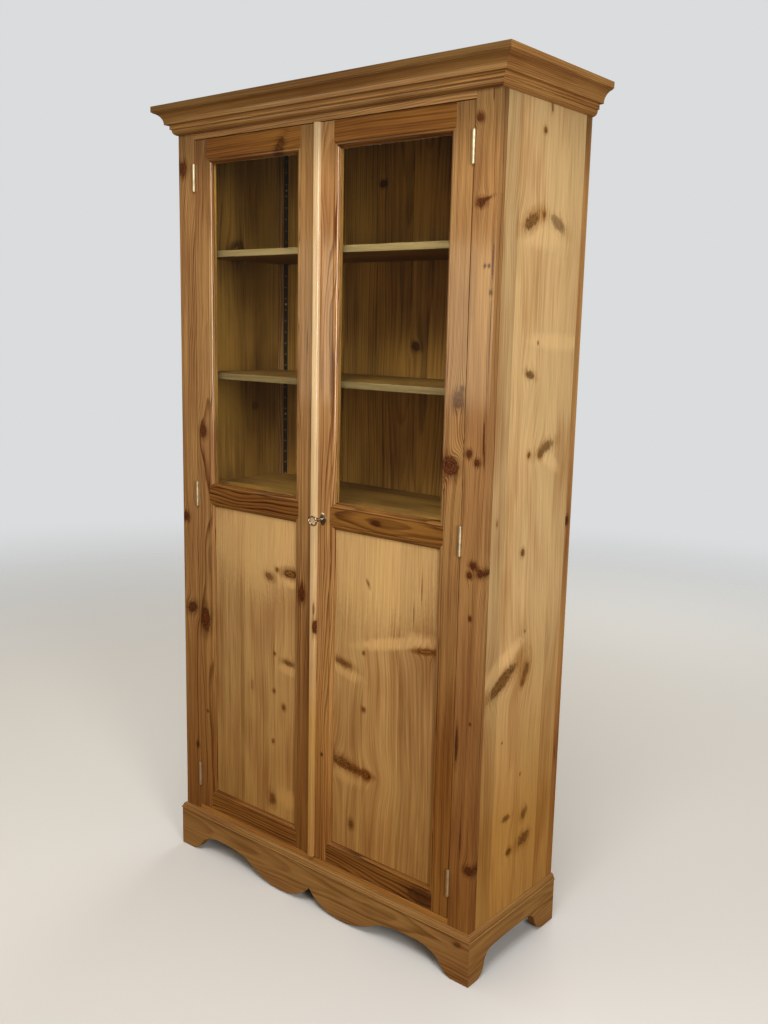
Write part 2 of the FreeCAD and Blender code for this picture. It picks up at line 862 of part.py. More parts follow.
def opening_run(points, x, z, edge):
    """A run along one edge of an opening, drawn inwards from its flat edge, back from its face."""
    turn, x_end, z_end = EDGES[edge]
    length = f"({x[1]}) - ({x[0]})" if edge in ("foot", "head") else f"({z[1]}) - ({z[0]})"
    shrink = "-mould_width"
    item = moulding(points, length, "mould_width", "-frame_thickness", "overrun", shrink, shrink)
    upright = turn.multiply(Rotation(Vector(1, 0, 0), 90))
    return set_down(item, upright, x[x_end], "front", z[z_end])


def frame_section(kind):
    """The door frame's moulded edge, with a rebate for glass or a groove for a panel behind it."""
    width = size.mould_width
    inside = place.rebate_start
    back = -place.door_thickness
    points = scaled(OVOLO_SHARES, width, -size.mould_sink)
    if kind == "glass":
        seat = -size.glass_depth
        points += [(width, seat), (inside, seat), (inside, back)]
    else:
        seat = -size.panel_recess
        far = seat - size.panel_thickness
        points += [(width, seat), (inside, seat), (inside, far), (width, far), (width, back)]
    return points + [(0.0, back)]


def glazing_section():
    """The loose bead that holds the glass from behind, with its inner edge rounded off."""
    seat = size.glass_depth + size.glass_thickness
    points = scaled(GLAZING_BEAD_SHARES, size.glazing_bead_width, seat - place.door_thickness)
    return moved(points, place.rebate_start, -seat)


OPENINGS = {"glass": ("upper_foot", "upper_top"), "panel": ("lower_foot", "lower_top")}

# Rails: underside, top, the moulded edges that each carries and the length of its tenons.
RAILS = {
    "top_rail": ("upper_top", "door_top", [("glass", "head")], "door_tenon"),
    "lock_rail": ("lower_top", "upper_foot", [("glass", "foot"), ("panel", "head")], "lock_tenon"),
    "bottom_rail": ("door_foot", "lower_foot", [("panel", "foot")], "door_tenon"),
}

DOOR_DEPTH = ("front", "door_back")


def make_rails(side, inner, edges):
    """The door's three rails. Gives back the mortises for their tenons."""
    tenon_depth = ("front + tenon_setback", "front + tenon_setback + tenon_thickness")
    mortises = []
    for name, (foot, top, carried, tenon) in RAILS.items():
        height = (f"{foot} + tenon_shoulder", f"{top} - tenon_shoulder")
        reach = (f"{inner[0]} - {tenon}", f"{inner[1]} + {tenon}")
        tongue = box((f"{reach[0]} + fit_gap", f"{reach[1]} - fit_gap"), tenon_depth, height)
        blank = box(inner, DOOR_DEPTH, (foot, top))
        keep(fuse(blank, tongue, *[edges[each] for each in carried]), f"{side}_door_{name}")
        mortises.append(box(reach, tenon_depth, height))
    return mortises


def make_stile(side, name, x, edge, edges, cuts):
    """One of the door's two stiles."""
    blank = box(x, DOOR_DEPTH, ("door_foot", "door_top"))
    solid = fuse(blank, edges[("glass", edge)], edges[("panel", edge)])
    keep(cut(solid, *cuts), f"{side}_door_{name}")


def hinge_rooms(side):
    """What the three hinges take out of the door's hinge stile."""
    x = on_side(side, "door_edge - leaf_thickness", "door_edge + overrun")
    return [room for height in HINGE_HEIGHTS for room in hinge_room(side, x, height)]


def make_door_screws(side):
    """Screws of the door's hinge leaves, and of its lock or slide bolts."""
    pieces = screws(hinge_screw_places(f"{sign(side)} * door_edge"), "-x" if side == "right" else "x")
    pieces += screws(lock_screw_places() if side == "right" else slide_screw_places(), "-y")
    return keep(group(*pieces), f"{side}_door_screws")


def make_door(side):
    """One door: rails, stiles, glass, panel, glazing beads and its leaves of the hinges."""
    screw_group = make_door_screws(side)
    if side == "left":
        low, high = "-door_edge", "left_meeting_edge"
        inner = (f"{low} + hinge_stile_flat", f"{high} - left_meeting_flat")
    else:
        low, high = "right_meeting_edge", "door_edge"
        inner = (f"{low} + right_meeting_flat", f"{high} - hinge_stile_flat")
    edges = {
        (kind, edge): opening_run(frame_section(kind), inner, limits, edge)
        for kind, limits in OPENINGS.items()
        for edge in EDGES
    }
    mortises = make_rails(side, inner, edges)
    hinge_cuts = [*mortises, *hinge_rooms(side), screw_group]
    if side == "left":
        make_stile(side, "hinge_stile", (low, inner[0]), "left", edges, hinge_cuts)
        meeting_cuts = [*mortises, *strike_room(), screw_group]
        make_stile(side, "meeting_stile", (inner[1], high), "right", edges, meeting_cuts)
    else:
        meeting_cuts = [*mortises, *lock_room(), screw_group]
        make_stile(side, "meeting_stile", (low, inner[0]), "left", edges, meeting_cuts)
        make_stile(side, "hinge_stile", (inner[1], high), "right", edges, hinge_cuts)

    plate_x = on_side(side, "door_edge - leaf_thickness", "door_edge")
    leaves = [hinge_leaf(side, height, plate_x, 1, screw_group) for height in HINGE_HEIGHTS]
    keep(group(*leaves), f"{side}_door_hinge_leaves")

    # Glass and panel lie in the frame with play all round
    seats = {"glass": ("glass_depth", "glass_thickness"), "panel": ("panel_recess", "panel_thickness")}
    inset = "(rebate_start + edge_play)"
    for kind, (depth, thickness) in seats.items():
        foot, top = OPENINGS[kind]
        sheet = box(
            (f"{inner[0]} + {inset}", f"{inner[1]} - {inset}"),
            (f"front + {depth}", f"front + {depth} + {thickness}"),
            (f"{foot} + {inset}", f"{top} - {inset}"),
        )
        keep(sheet, f"{side}_door_{kind}")
    beads = [opening_run(glazing_section(), inner, OPENINGS["glass"], edge) for edge in EDGES]
    keep(group(*beads), f"{side}_door_glazing_beads")
    return screw_group


def lock_boxes(grow, past):
    """The lock's case and its screwed back plate, grown by a gap and carried past the door's back."""
    x = (f"right_meeting_edge - {past}", f"right_meeting_edge + lock_case_width + {grow}")
    z = (f"key_height - lock_case_below - {grow}", f"key_height + lock_case_above + {grow}")
    case = box(x, ("lock_front", f"door_back + {past}"), z)
    plate_z = (f"{z[0]} - lock_flange", f"{z[1]} + lock_flange")
    plate = box(x, ("door_back - lock_wall", f"door_back + {past}"), plate_z)
    return [case, plate]


def lock_screw_places():
    """Screw places on the lock's back plate, above and below its case."""
    middle = "right_meeting_edge + lock_case_width / 2"
    return [
        (f"{middle} {way} lock_screw_spread / 2", "door_back", height)
        for way in ("-", "+")
        for height in (
            "key_height - lock_case_below - lock_flange / 2",
            "key_height + lock_case_above + lock_flange / 2",
        )
    ]


def key_hole(gap, start, length):
    """A round hole about the key's shank."""
    return rod(f"shank_radius + {gap}", length, "key_across", start, "key_height", "y")


def bolt_room(x):
    """The lock bolt's way through a plate or the wood."""
    y = spread("lock_bolt_y", "lock_bolt_thickness + 2 * running_gap")
    return box(x, y, ("lock_bolt_low - running_gap", "lock_bolt_low + lock_bolt_height + running_gap"))


def strike_box(past):
    """The strike plate in the left door's meeting edge."""
    return box(
        ("left_meeting_edge - strike_thickness", f"left_meeting_edge + {past}"),
        spread("lock_bolt_y", "strike_width"),
        spread("lock_bolt_low + lock_bolt_height / 2", "strike_length"),
    )


def lock_room():
    """What the lock and key take out of the right door's meeting stile."""
    hole = key_hole("running_gap", "front - overrun", "door_thickness + 2 * overrun")
    return [*lock_boxes("fit_gap", "overrun"), hole]


def strike_room():
    """The strike plate's seat and the bolt's mortise in the left door's meeting edge."""
    return [strike_box("overrun"), bolt_room(("left_meeting_edge - lock_bolt_throw", "left_meeting_edge"))]


def make_lock(screw_group):
    """Lock case, lock bolt and strike plate."""
    case, plate = lock_boxes("0", "0")
    cavity = box(
        ("right_meeting_edge + lock_wall", "right_meeting_edge + lock_case_width - lock_wall"),
        ("lock_front - overrun", "door_back - lock_wall"),
        ("key_height - lock_case_below + lock_wall", "key_height + lock_case_above - lock_wall"),
    )
    slot = bolt_room(("right_meeting_edge - overrun", "right_meeting_edge + lock_wall + overrun"))
    pivot = key_hole("running_gap", "lock_front + lock_wall", "lock_case_depth")
    keep(cut(fuse(case, plate), cavity, slot, pivot, screw_group), "lock_case")
    tip = "right_meeting_edge + lock_bolt_inset"
    bolt = box(
        (tip, f"{tip} + lock_bolt_length"),
        spread("lock_bolt_y", "lock_bolt_thickness"),
        ("lock_bolt_low", "lock_bolt_low + lock_bolt_height"),
    )
    keep(bolt, "lock_bolt")
    hole = bolt_room(("left_meeting_edge - strike_thickness - overrun", "left_meeting_edge + overrun"))
    keep(cut(strike_box("0"), hole), "strike_plate")


def make_escutcheon():
    """An oval plate, domed, with a round hole for the key's shank."""
    dome = document.addObject("Part::Ellipsoid", "Dome")
    dome.Placement = Placement(Vector(), TURNS["-y"])
    bind(dome, Radius1="escutcheon_thickness")
    bind(dome, Radius2="escutcheon_width / 2", Radius3="escutcheon_height / 2")
    bind(dome, at_x="key_across", at_y="front", at_z="key_height")
    outer_y = "front - escutcheon_thickness - overrun"
    half = box(
        spread("key_across", "escutcheon_width + 2 * overrun"),
        (outer_y, "front"),
        spread("key_height", "escutcheon_height + 2 * overrun"),
    )
    bore = key_hole("running_gap", outer_y, "escutcheon_thickness + 2 * overrun")
    keep(cut(common(dome, half), bore), "escutcheon")


def make_key():
    """The key, drawn upright and then turned about its shank."""
    shank = rod("shank_radius", "door_back - key_start", "0", "key_start", "0", "y")
    collar = rod("collar_radius", "collar_length", "0", "key_start + collar_length", "0", "y")
    ring = document.addObject("Part::Torus", "Bow")
    ring.Placement = Placement(Vector(), TURNS["x"])
    bind(ring, Radius1="bow_radius - bow_wire_radius", Radius2="bow_wire_radius")
    bind(ring, at_y="front - key_proud + bow_radius")
    bit = box(spread("0", "bit_thickness"), spread("lock_bolt_y", "bit_width"), ("-bit_reach", "0"))
    key = group(fuse(shank, collar, ring, bit))
    key.Placement = Placement(Vector(), Rotation(Vector(0, -1, 0), size.key_tilt))
    bind(key, at_x="key_across", at_z="key_height")
    keep(key, "key")


def make_cover_bead():
    """The half-round strip on the right door that covers the meeting line."""
    half = size.cover_bead_width / 2
    proud = size.cover_bead_proud
    turn = size.cover_bead_round
    bend = turn * (1 - math.sqrt(0.5))
    points = [
        (-half, 0.0),
        (-half, proud - turn),
        ((-half + bend, proud - bend), (-half + turn, proud)),
        (half - turn, proud),
        ((half - bend, proud - bend), (half, proud - turn)),
        (half, 0.0),
    ]
    sketch = outline(points, Rotation(Vector(0, 0, 1), 180))
    item = pushed(sketch, Vector(0, 0, 1), "door_top - door_foot")
    keep(bind(item, at_y="front", at_z="door_foot"), "cover_bead")


def from_end(end, distance):
    """A height measured inwards from the left door's top or bottom edge."""
    return f"door_top - ({distance})" if end == "top" else f"door_foot + ({distance})"


def span_from_end(end, near, far):
    """Two such heights, the lower one first."""
    heights = (from_end(end, near), from_end(end, far))
    return heights[::-1] if end == "top" else heights


def slide_screw_places():
    """Screw places on the slide bolts' plates, beside the rod and between the staples."""
    beside = "slide_plate_width / 2 - screw_head_radius - fit_gap"
    along = "slide_staple_length + 2 * screw_head_radius"
    return [
        (f"slide_across {way} ({beside})", "door_back + slide_plate_thickness", from_end(end, distance))
        for end in ("top", "bottom")
        for way in ("-", "+")
        for distance in (
            f"slide_plate_inset + {along}",
            f"slide_plate_inset + slide_plate_length - ({along})",
        )
    ]


def make_slide_bolts(screw_group):
    """Two bolts on the back of the left door, one up and one down, both drawn back."""
    back = "door_back + slide_plate_thickness"
    half_staple = "(slide_rod_radius + running_gap + slide_staple_wall)"
    plates = []
    for end in ("top", "bottom"):
        plate = box(
            spread("slide_across", "slide_plate_width"),
            ("door_back", back),
            span_from_end(end, "slide_plate_inset", "slide_plate_inset + slide_plate_length"),
        )
        staples = [
            box(
                spread("slide_across", f"2 * {half_staple}"),
                (back, f"slide_rod_y + {half_staple}"),
                span_from_end(end, start, f"{start} + slide_staple_length"),
            )
            for start in (
                "slide_plate_inset",
                "slide_plate_inset + slide_plate_length - slide_staple_length",
            )
        ]
        rod_ends = span_from_end(end, "slide_rod_inset", "slide_rod_inset + slide_rod_length")
        bore = rod(
            "slide_rod_radius + running_gap",
            "slide_rod_length + 2 * overrun",
            "slide_across",
            "slide_rod_y",
            f"{rod_ends[0]} - overrun",
        )
        plates.append(cut(fuse(plate, *staples), bore, screw_group))
        bar = rod("slide_rod_radius", "slide_rod_length", "slide_across", "slide_rod_y", rod_ends[0])
        knob_height = from_end(end, "slide_plate_inset + slide_plate_length / 2")
        knob_length = "slide_rod_radius + slide_knob_length"
        knob = rod("slide_knob_radius", knob_length, "slide_across", "slide_rod_y", knob_height, "y")
        keep(fuse(bar, knob), f"{end}_slide_bolt")
    keep(group(*plates), "slide_bolt_plates")


def make_loose_shelves():
    """Two shelves that lie on the clips, notched round the rear posts."""
    for name in ("middle", "upper"):
        foot = f"{name}_shelf_foot"
        board = box(
            ("-shelf_end", "shelf_end"),
            ("shelf_front", "back_face - shelf_play"),
            (foot, f"{foot} + shelf_thickness"),
        )
        notches = [
            box(
                on_side(side, "post_face - strip_thickness - shelf_play", "half_case"),
                ("post_front - shelf_play", "rear"),
                (f"{foot} - overrun", f"{foot} + shelf_thickness + overrun"),
            )
            for side in ("left", "right")
        ]
        keep(cut(board, *notches), f"{name}_shelf")


def check_and_write():
    """Recomputes, makes sure that every object is sound and writes one file per sub-part."""
    document.recompute()
    broken = [item.Label for item in document.Objects if {"Invalid", "Error"} & set(item.State)]
    if broken:
        raise RuntimeError(f"objects that failed: {broken}")
    labels = [item.Label for item in sub_parts]
    if len(set(labels)) != len(labels):
        raise RuntimeError("two sub-parts share a label")
    os.makedirs("parts", exist_ok=True)
    for item in sub_parts:
        if item.Shape.isNull() or not item.Shape.isValid() or not item.Shape.Solids:
            raise RuntimeError(f"{item.Label} has no sound solid")
    for item in sub_parts:
        item.Shape.exportStep(os.path.join("parts", item.Label + ".step"))
        print(f"{item.Label}: {len(item.Shape.Solids)} solid(s), {item.Shape.Volume / 1000:.1f} cm3")


case_screws = make_case_screws()
make_strips(case_screws)
make_clips()
make_sides(case_screws)
make_boards()
make_face_frame(case_screws)
make_back()
make_case_hinges(case_screws)
make_cornice()
make_plinth()
make_base_moulding()
make_blocks()
left_door_screws = make_door("left")
right_door_screws = make_door("right")
make_cover_bead()
make_lock(right_door_screws)
make_escutcheon()
make_key()
make_slide_bolts(left_door_screws)
make_loose_shelves()
check_and_write()
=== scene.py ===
"""Waxed pine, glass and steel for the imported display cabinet, laid out as an add-on."""

import json
import math
import random

import bpy
from mathutils import Matrix, Vector

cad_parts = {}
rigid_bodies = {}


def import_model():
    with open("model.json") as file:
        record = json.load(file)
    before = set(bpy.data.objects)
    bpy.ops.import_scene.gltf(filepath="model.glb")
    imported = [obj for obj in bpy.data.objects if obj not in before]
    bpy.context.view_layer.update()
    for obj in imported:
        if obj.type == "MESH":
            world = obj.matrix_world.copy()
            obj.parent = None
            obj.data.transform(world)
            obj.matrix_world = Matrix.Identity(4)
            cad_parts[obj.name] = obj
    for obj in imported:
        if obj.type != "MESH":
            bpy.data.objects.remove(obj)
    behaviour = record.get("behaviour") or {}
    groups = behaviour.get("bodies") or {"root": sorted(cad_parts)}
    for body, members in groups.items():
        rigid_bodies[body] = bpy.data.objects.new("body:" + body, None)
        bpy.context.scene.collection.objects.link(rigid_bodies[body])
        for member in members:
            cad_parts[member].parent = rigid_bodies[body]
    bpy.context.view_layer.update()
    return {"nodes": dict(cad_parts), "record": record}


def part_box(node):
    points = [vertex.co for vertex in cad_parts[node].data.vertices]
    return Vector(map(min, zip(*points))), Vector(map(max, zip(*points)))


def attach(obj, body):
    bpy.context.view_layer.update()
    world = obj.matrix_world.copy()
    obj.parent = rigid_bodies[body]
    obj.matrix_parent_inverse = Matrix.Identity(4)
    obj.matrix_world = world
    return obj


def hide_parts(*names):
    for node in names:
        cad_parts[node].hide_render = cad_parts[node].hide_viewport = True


bl_info = {
    "name": "Pine display cabinet",
    "version": (1, 0, 0),
    "blender": (4, 5, 0),
    "location": "View3D > Sidebar > Cabinet",
    "description": "Dresses the cabinet's frame in waxed pine, glass and steel and sets it in a studio",
    "category": "Object",
}

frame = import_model()
BODY_OF = {
    node: body
    for body, members in frame["record"]["behaviour"]["bodies"].items()
    for node in members
}


def from_hex(text):
    """An sRGB hex colour as the linear values that Blender works with."""
    shares = [int(text[place : place + 2], 16) / 255 for place in (1, 3, 5)]
    return [s / 12.92 if s <= 0.04045 else ((s + 0.055) / 1.055) ** 2.4 for s in shares]


def colour(name, description, text):
    """A colour that a user may change."""
    return bpy.props.FloatVectorProperty(
        name=name, description=description, subtype="COLOR", min=0, max=1, default=from_hex(text)
    )


def length(name, description, metres):
    """A length that a user may change."""
    return bpy.props.FloatProperty(
        name=name, description=description, unit="LENGTH", min=0, precision=4, default=metres
    )


class CabinetSizes(bpy.types.PropertyGroup):
    """Sizes of what is finer than the frame's own solids."""

    board_arris: length("Board arris", "Rounding of a planed board's edges", 0.0012)
    worn_arris: length("Worn arris", "Rounding of edges that hands and feet have worn", 0.0028)
    moulding_arris: length("Moulding arris", "Rounding of a moulding's sharp edges", 0.0005)
    metal_arris: length("Metal arris", "Rounding of the ironwork's edges", 0.0003)
    ring_spacing: length("Ring spacing", "Width of a year's growth in the frame's pine", 0.0034)


class CabinetColours(bpy.types.PropertyGroup):
    """Colours of the finishes."""

    frame_early: colour("Frame, early wood", "Soft wood between the rings of stiles and rails", "#BC8D56")
    frame_late: colour("Frame, late wood", "Dark ring lines of stiles and rails", "#653A13")
    rail_early: colour("Rail, early wood", "Soft wood of the redder rails", "#875926")
    rail_late: colour("Rail, late wood", "Dark ring lines of the redder rails", "#3F1D07")
    panel_early: colour("Panel, early wood", "Soft wood of the doors' panels", "#C5A068")
    panel_late: colour("Panel, late wood", "Ring lines of the doors' panels", "#845524")
    side_early: colour("Side, early wood", "Soft wood of the pale sides", "#D2AF7B")
    side_late: colour("Side, late wood", "Ring lines of the pale sides", "#9E7139")
    bead_early: colour("Cover bead, early wood", "Soft wood of the pale bead between the doors", "#D8BA8C")
    bead_late: colour("Cover bead, late wood", "Hard rings of the pale bead", "#A6824F")
    trim_early: colour("Trim, early wood", "Soft wood of the cornice and plinth", "#997140")
    trim_late: colour("Trim, late wood", "Ring lines of the cornice and plinth", "#5A3410")
    inside_early: colour("Inside, early wood", "Soft wood of the dull boards inside", "#A67837")
    inside_late: colour("Inside, late wood", "Ring lines of the dull boards inside", "#4D3212")
    shelf_early: colour("Shelf, early wood", "Soft wood of the loose shelves", "#AE9263")
    shelf_late: colour("Shelf, late wood", "Ring lines of the loose shelves", "#816A33")
    knot_heart: colour("Knot, heart", "Middle of a knot in the frame", "#6A3718")
    knot_rim: colour("Knot, rim", "Dark bark ring of a knot in the frame", "#241005")
    pale_knot_heart: colour("Pale knot, heart", "Middle of a knot in the pale boards", "#9C6A32")
    pale_knot_rim: colour("Pale knot, rim", "Bark ring of a knot in the pale boards", "#3C2109")
    # Painted shade: towards the floor the wood's colour is multiplied by this
    foot_shade_colour: colour("Foot shade", "What years of wear near the floor multiply the wood's colour by", "#DAC394")
    bright_steel: colour("Bright steel", "Hinges and screws", "#DCCDA8")
    dark_steel: colour("Dark steel", "Lock, key and bolts", "#B6AB98")
    black_paint: colour("Black paint", "Slotted shelf strips", "#14130F")
    pane: colour("Pane", "The faint green that window glass lets through", "#F9FDFA")
    floor: colour("Floor", "Plain pale studio floor", "#D9D8D4")


def add(tree, kind, inputs=None, **settings):
    """Adds a node. An input is a value, a socket, or a node whose first output feeds it."""
    made = tree.nodes.new("ShaderNode" + kind)
    for name, value in settings.items():
        setattr(made, name, value)
    for name, value in (inputs or {}).items():
        source = value.outputs[0] if isinstance(value, bpy.types.Node) else value
        if isinstance(source, bpy.types.NodeSocket):
            tree.links.new(source, made.inputs[name])
        else:
            made.inputs[name].default_value = source
    return made


def new_group(name, inputs, outputs):
    """An empty node group with its sockets. Gives back the group and its two ends."""
    group = bpy.data.node_groups.new(name, "ShaderNodeTree")
    for way, sockets in (("INPUT", inputs), ("OUTPUT", outputs)):
        for label, kind in sockets.items():
            group.interface.new_socket(label, in_out=way, socket_type="NodeSocket" + kind)
    start = group.nodes.new("NodeGroupInput")
    end = group.nodes.new("NodeGroupOutput")
    return group, start, end


# How often each pattern of the wood repeats in a metre: across the face, through the board and
# along the grain.
BENDS = (5, 5, 2.2)  # the pith wanders over 200 mm across and 450 mm along
UNEVEN_RINGS = (45, 45, 5)  # rings thicken and thin over 22 mm
FIBRES = (430, 430, 8)  # fibres of under a millimetre, drawn 2.3 mm wide so that they show
STREAKS = (105, 105, 1.9)  # streaks 9.5 mm wide and half a metre long
CLOUDS = (9, 9, 3.2)  # clouds of colour 110 mm wide and 310 mm long
PLANED = (520, 520, 14)  # what the plane left, in ridges 1.9 mm wide
RAGGED = (160, 160, 90)  # bites of 6 to 11 mm in a knot's edge

# The same across and along the grain for the marks inside a knot. A branch sawn lengthwise shows
# fibres 4 mm wide and 22 mm long, and one sawn across shows specks of 4 mm.
LYING_ACROSS, LYING_ALONG, SAWN_ACROSS = (45, 230), (280, 45), (260, 260)

# And on metal, paint and glass, with the colours of dust and of light that has passed a pane.
STEEL_MARKS = 420.0  # rolling marks and rust specks of 2.4 mm
STEEL_STAINS = 60.0  # dull patches of 17 mm
DUST = 90.0  # patches of dust of 11 mm
DRAWN_WAVES = 5.0  # waves of 200 mm, left by the drawing of the glass
DUST_COLOUR = "#5A5040"
PASSED_LIGHT = "#F7FAF8"


def make_knot_group():
    """A knot as an oval on the board's face. It pushes the grain aside and adds its own marks.

    Distances are in half widths of the knot. The group holds nothing that turns a number into a
    vector, because a long chain of them would run Cycles out of room.
    """
    outline, stain_start, stain_full = 1.12, 2.2, 0.7
    closing, softness = 0.42, 0.85  # how soon the grain closes again, and how gently it bends
    marks = {"Shift": "Float", "Heart": "Float", "Halo": "Float", "Ring": "Float", "Inner": "Vector"}
    group, start, end = new_group(
        "Knot",
        {
            "Point": "Vector", "Rough": "Float", "Place": "Vector", "Size": "Vector", "Turn": "Vector",
            "Fibre": "Vector", "Dark": "Float", "Core": "Float", **marks,
        },
        marks,
    )
    given = start.outputs
    local = add(
        group, "Mapping", vector_type="TEXTURE",
        inputs={
            "Vector": given["Point"], "Location": given["Place"], "Rotation": given["Turn"],
            "Scale": given["Size"],
        },
    )
    away = add(group, "VectorMath", {0: local}, operation="LENGTH").outputs["Value"]
    away = add(group, "Math", {0: given["Rough"], 1: 1.0, 2: away}, operation="MULTIPLY_ADD")
    # A knot with less than nothing for its darkness pales the wood and leaves the grain alone: a pale flare
    # beside a knot, and painted light where a wide one lies at a door panel's top
    firm = add(group, "Math", {0: given["Dark"], 1: 0.0}, operation="MAXIMUM")
    heart = add(
        group, "MapRange", interpolation_type="SMOOTHSTEP",
        inputs={"Value": away, "From Min": outline, "From Max": given["Core"]},
    )
    heart = add(group, "Math", {0: heart, 1: firm}, operation="MULTIPLY")
    halo = add(
        group, "MapRange", interpolation_type="SMOOTHSTEP",
        inputs={"Value": away, "From Min": stain_start, "From Max": stain_full},
    )
    # The grain parts before the knot and closes again a few widths behind it
    flow = add(group, "VectorMath", {0: local, 1: (1, 0, closing)}, operation="MULTIPLY")
    square = add(group, "VectorMath", {0: flow, 1: flow}, operation="DOT_PRODUCT").outputs["Value"]
    square = add(group, "Math", {0: square, 1: softness}, operation="ADD")
    across = add(group, "VectorMath", {0: local, 1: (-1, 0, 0)}, operation="DOT_PRODUCT").outputs["Value"]
    width = add(group, "VectorMath", {0: given["Size"], 1: (1, 0, 0)}, operation="DOT_PRODUCT")
    width = add(group, "Math", {0: width.outputs["Value"], 1: firm}, operation="MULTIPLY")
    push = add(group, "Math", {0: across, 1: width}, operation="MULTIPLY")
    push = add(group, "Math", {0: push, 1: square}, operation="DIVIDE")
    inner = add(group, "VectorMath", {0: local, 1: given["Fibre"]}, operation="MULTIPLY")
    inner = add(group, "VectorMath", {0: inner, "Scale": heart}, operation="SCALE")
    for label, node in {
        "Shift": add(group, "Math", {0: given["Shift"], 1: push}, operation="ADD"),
        "Heart": add(group, "Math", {0: given["Heart"], 1: heart}, operation="MAXIMUM"),
        "Halo": add(group, "Math", {0: halo, 1: given["Dark"], 2: given["Halo"]}, operation="MULTIPLY_ADD"),
        "Ring": add(group, "Math", {0: heart, 1: away, 2: given["Ring"]}, operation="MULTIPLY_ADD"),
        "Inner": add(group, "VectorMath", {0: inner, 1: given["Inner"]}, operation="ADD"),
    }.items():
        group.links.new(node.outputs[0], end.inputs[label])
    return group


def make_grain_group():
    """Sawn pine cut out of a log: rings about a pith that wanders, fibres, streaks and clouds."""
    pith_reach = (0.028, 0.036, 0)  # how far the pith wanders, in metres
    ring_reach = 0.0032  # how far a ring strays from its circle, in metres
    weakest_ring = 0.3  # late wood of the palest ring against the darkest
    ring_start, ring_full, ring_end = 0.2, 0.86, 0.9  # late wood's rise and end, in rings
    resting = 0.16  # how far plain wood stands from early wood towards late
    fibre_share, rubbed_and_lit_share, flare_and_light_share = 0.9, 0.15, 0.22  # what each adds to the brightness: fibres; arrises, partly wax rubbed through and partly a painted highlight; pale flares beside knots, and painted light where a wide one lies at a panel's top
    knot_rings, knot_swirl, knot_line = 21.0, 7.0, 0.3  # how close a knot's rings are, bent and dark
    least_mark, most_mark, rim_share = 0.25, 0.8, 2.8  # from a knot's heart colour to its rim's
    redder = 0.02  # how far a dark cloud's hue turns
    gloss, late_gloss, fibre_gloss = 0.27, -0.08, 0.16  # roughness, and what late wood and fibres add
    group, start, end = new_group(
        "Sawn pine",
        {
            "Point": "Vector", "Offset": "Vector", "Shift": "Float", "Heart": "Float", "Halo": "Float",
            "Ring": "Float", "Inner": "Vector", "Pith": "Vector", "Lean": "Vector", "Wander": "Float",
            "Spacing": "Float", "Contrast": "Float", "Streak": "Float", "Cloud": "Float", "Tone": "Float",
            "Stain": "Float", "Arris": "Float", "Early": "Color", "Late": "Color",
            "Knot heart": "Color", "Knot rim": "Color",
        },
        {"Color": "Color", "Roughness": "Float", "Height": "Float"},
    )
    given = start.outputs
    shift = add(group, "CombineXYZ", {"X": given["Shift"]})
    bent = add(group, "VectorMath", {0: given["Point"], 1: shift}, operation="ADD")
    own = add(group, "VectorMath", {0: bent, 1: given["Offset"]}, operation="ADD")

    # A pith that wanders by a few millimetres draws the arched figure on a flat-sawn face
    slow = add(group, "VectorMath", {0: own, 1: BENDS}, operation="MULTIPLY")
    wander = add(group, "TexNoise", {"Vector": slow, "Scale": 1.0, "Detail": 2.0, "Roughness": 0.45})
    wander = add(group, "VectorMath", {0: wander.outputs["Color"], 1: (0.5, 0.5, 0.5)}, operation="SUBTRACT")
    wander = add(group, "VectorMath", {0: wander, 1: pith_reach}, operation="MULTIPLY")
    wander = add(group, "VectorMath", {0: wander, "Scale": given["Wander"]}, operation="SCALE")
    pithward = add(group, "VectorMath", {0: bent, 1: wander}, operation="ADD")
    pithward = add(
        group, "Mapping", vector_type="TEXTURE",
        inputs={"Vector": pithward, "Location": given["Pith"], "Rotation": given["Lean"]},
    )
    flat = add(group, "VectorMath", {0: pithward, 1: (1, 1, 0)}, operation="MULTIPLY")
    radius = add(group, "VectorMath", {0: flat}, operation="LENGTH").outputs["Value"]

    # Each ring goes slowly from early to late wood and ends at once, and some years are weaker
    uneven = add(group, "VectorMath", {0: own, 1: UNEVEN_RINGS}, operation="MULTIPLY")
    uneven = add(group, "TexNoise", {"Vector": uneven, "Scale": 1.0, "Detail": 3.0, "Roughness": 0.55})
    uneven = add(group, "Math", {0: uneven, 1: 0.5}, operation="SUBTRACT")
    radius = add(group, "Math", {0: uneven, 1: ring_reach, 2: radius}, operation="MULTIPLY_ADD")
    year = add(group, "Math", {0: radius, 1: given["Spacing"]}, operation="DIVIDE")
    within = add(group, "Math", {0: year}, operation="FRACT")
    number = add(group, "Math", {0: year}, operation="FLOOR")
    strength = add(group, "TexWhiteNoise", {"W": number}, noise_dimensions="1D").outputs["Value"]
    strength = add(group, "MapRange", {"Value": strength, "To Min": weakest_ring, "To Max": 1.0})
    rise = add(
        group, "MapRange", interpolation_type="SMOOTHSTEP",
        inputs={"Value": within, "From Min": ring_start, "From Max": ring_full},
    )
    fall = add(group, "MapRange", {"Value": within, "From Min": 1.0, "From Max": ring_end})
    late = add(group, "Math", {0: rise, 1: fall}, operation="MULTIPLY")
    late = add(group, "Math", {0: late, 1: strength}, operation="MULTIPLY")
    late = add(group, "Math", {0: late, 1: given["Contrast"]}, operation="MULTIPLY")

    fine = add(group, "VectorMath", {0: own, 1: FIBRES}, operation="MULTIPLY")
    fine = add(group, "TexNoise", {"Vector": fine, "Scale": 1.0, "Detail": 3.0, "Roughness": 0.65})
    broad = add(group, "VectorMath", {0: own, 1: STREAKS}, operation="MULTIPLY")
    broad = add(group, "TexNoise", {"Vector": broad, "Scale": 1.0, "Detail": 4.0, "Roughness": 0.65})
    cloud = add(group, "VectorMath", {0: own, 1: CLOUDS}, operation="MULTIPLY")
    cloud = add(group, "TexNoise", {"Vector": cloud, "Scale": 1.0, "Detail": 2.0, "Roughness": 0.5})

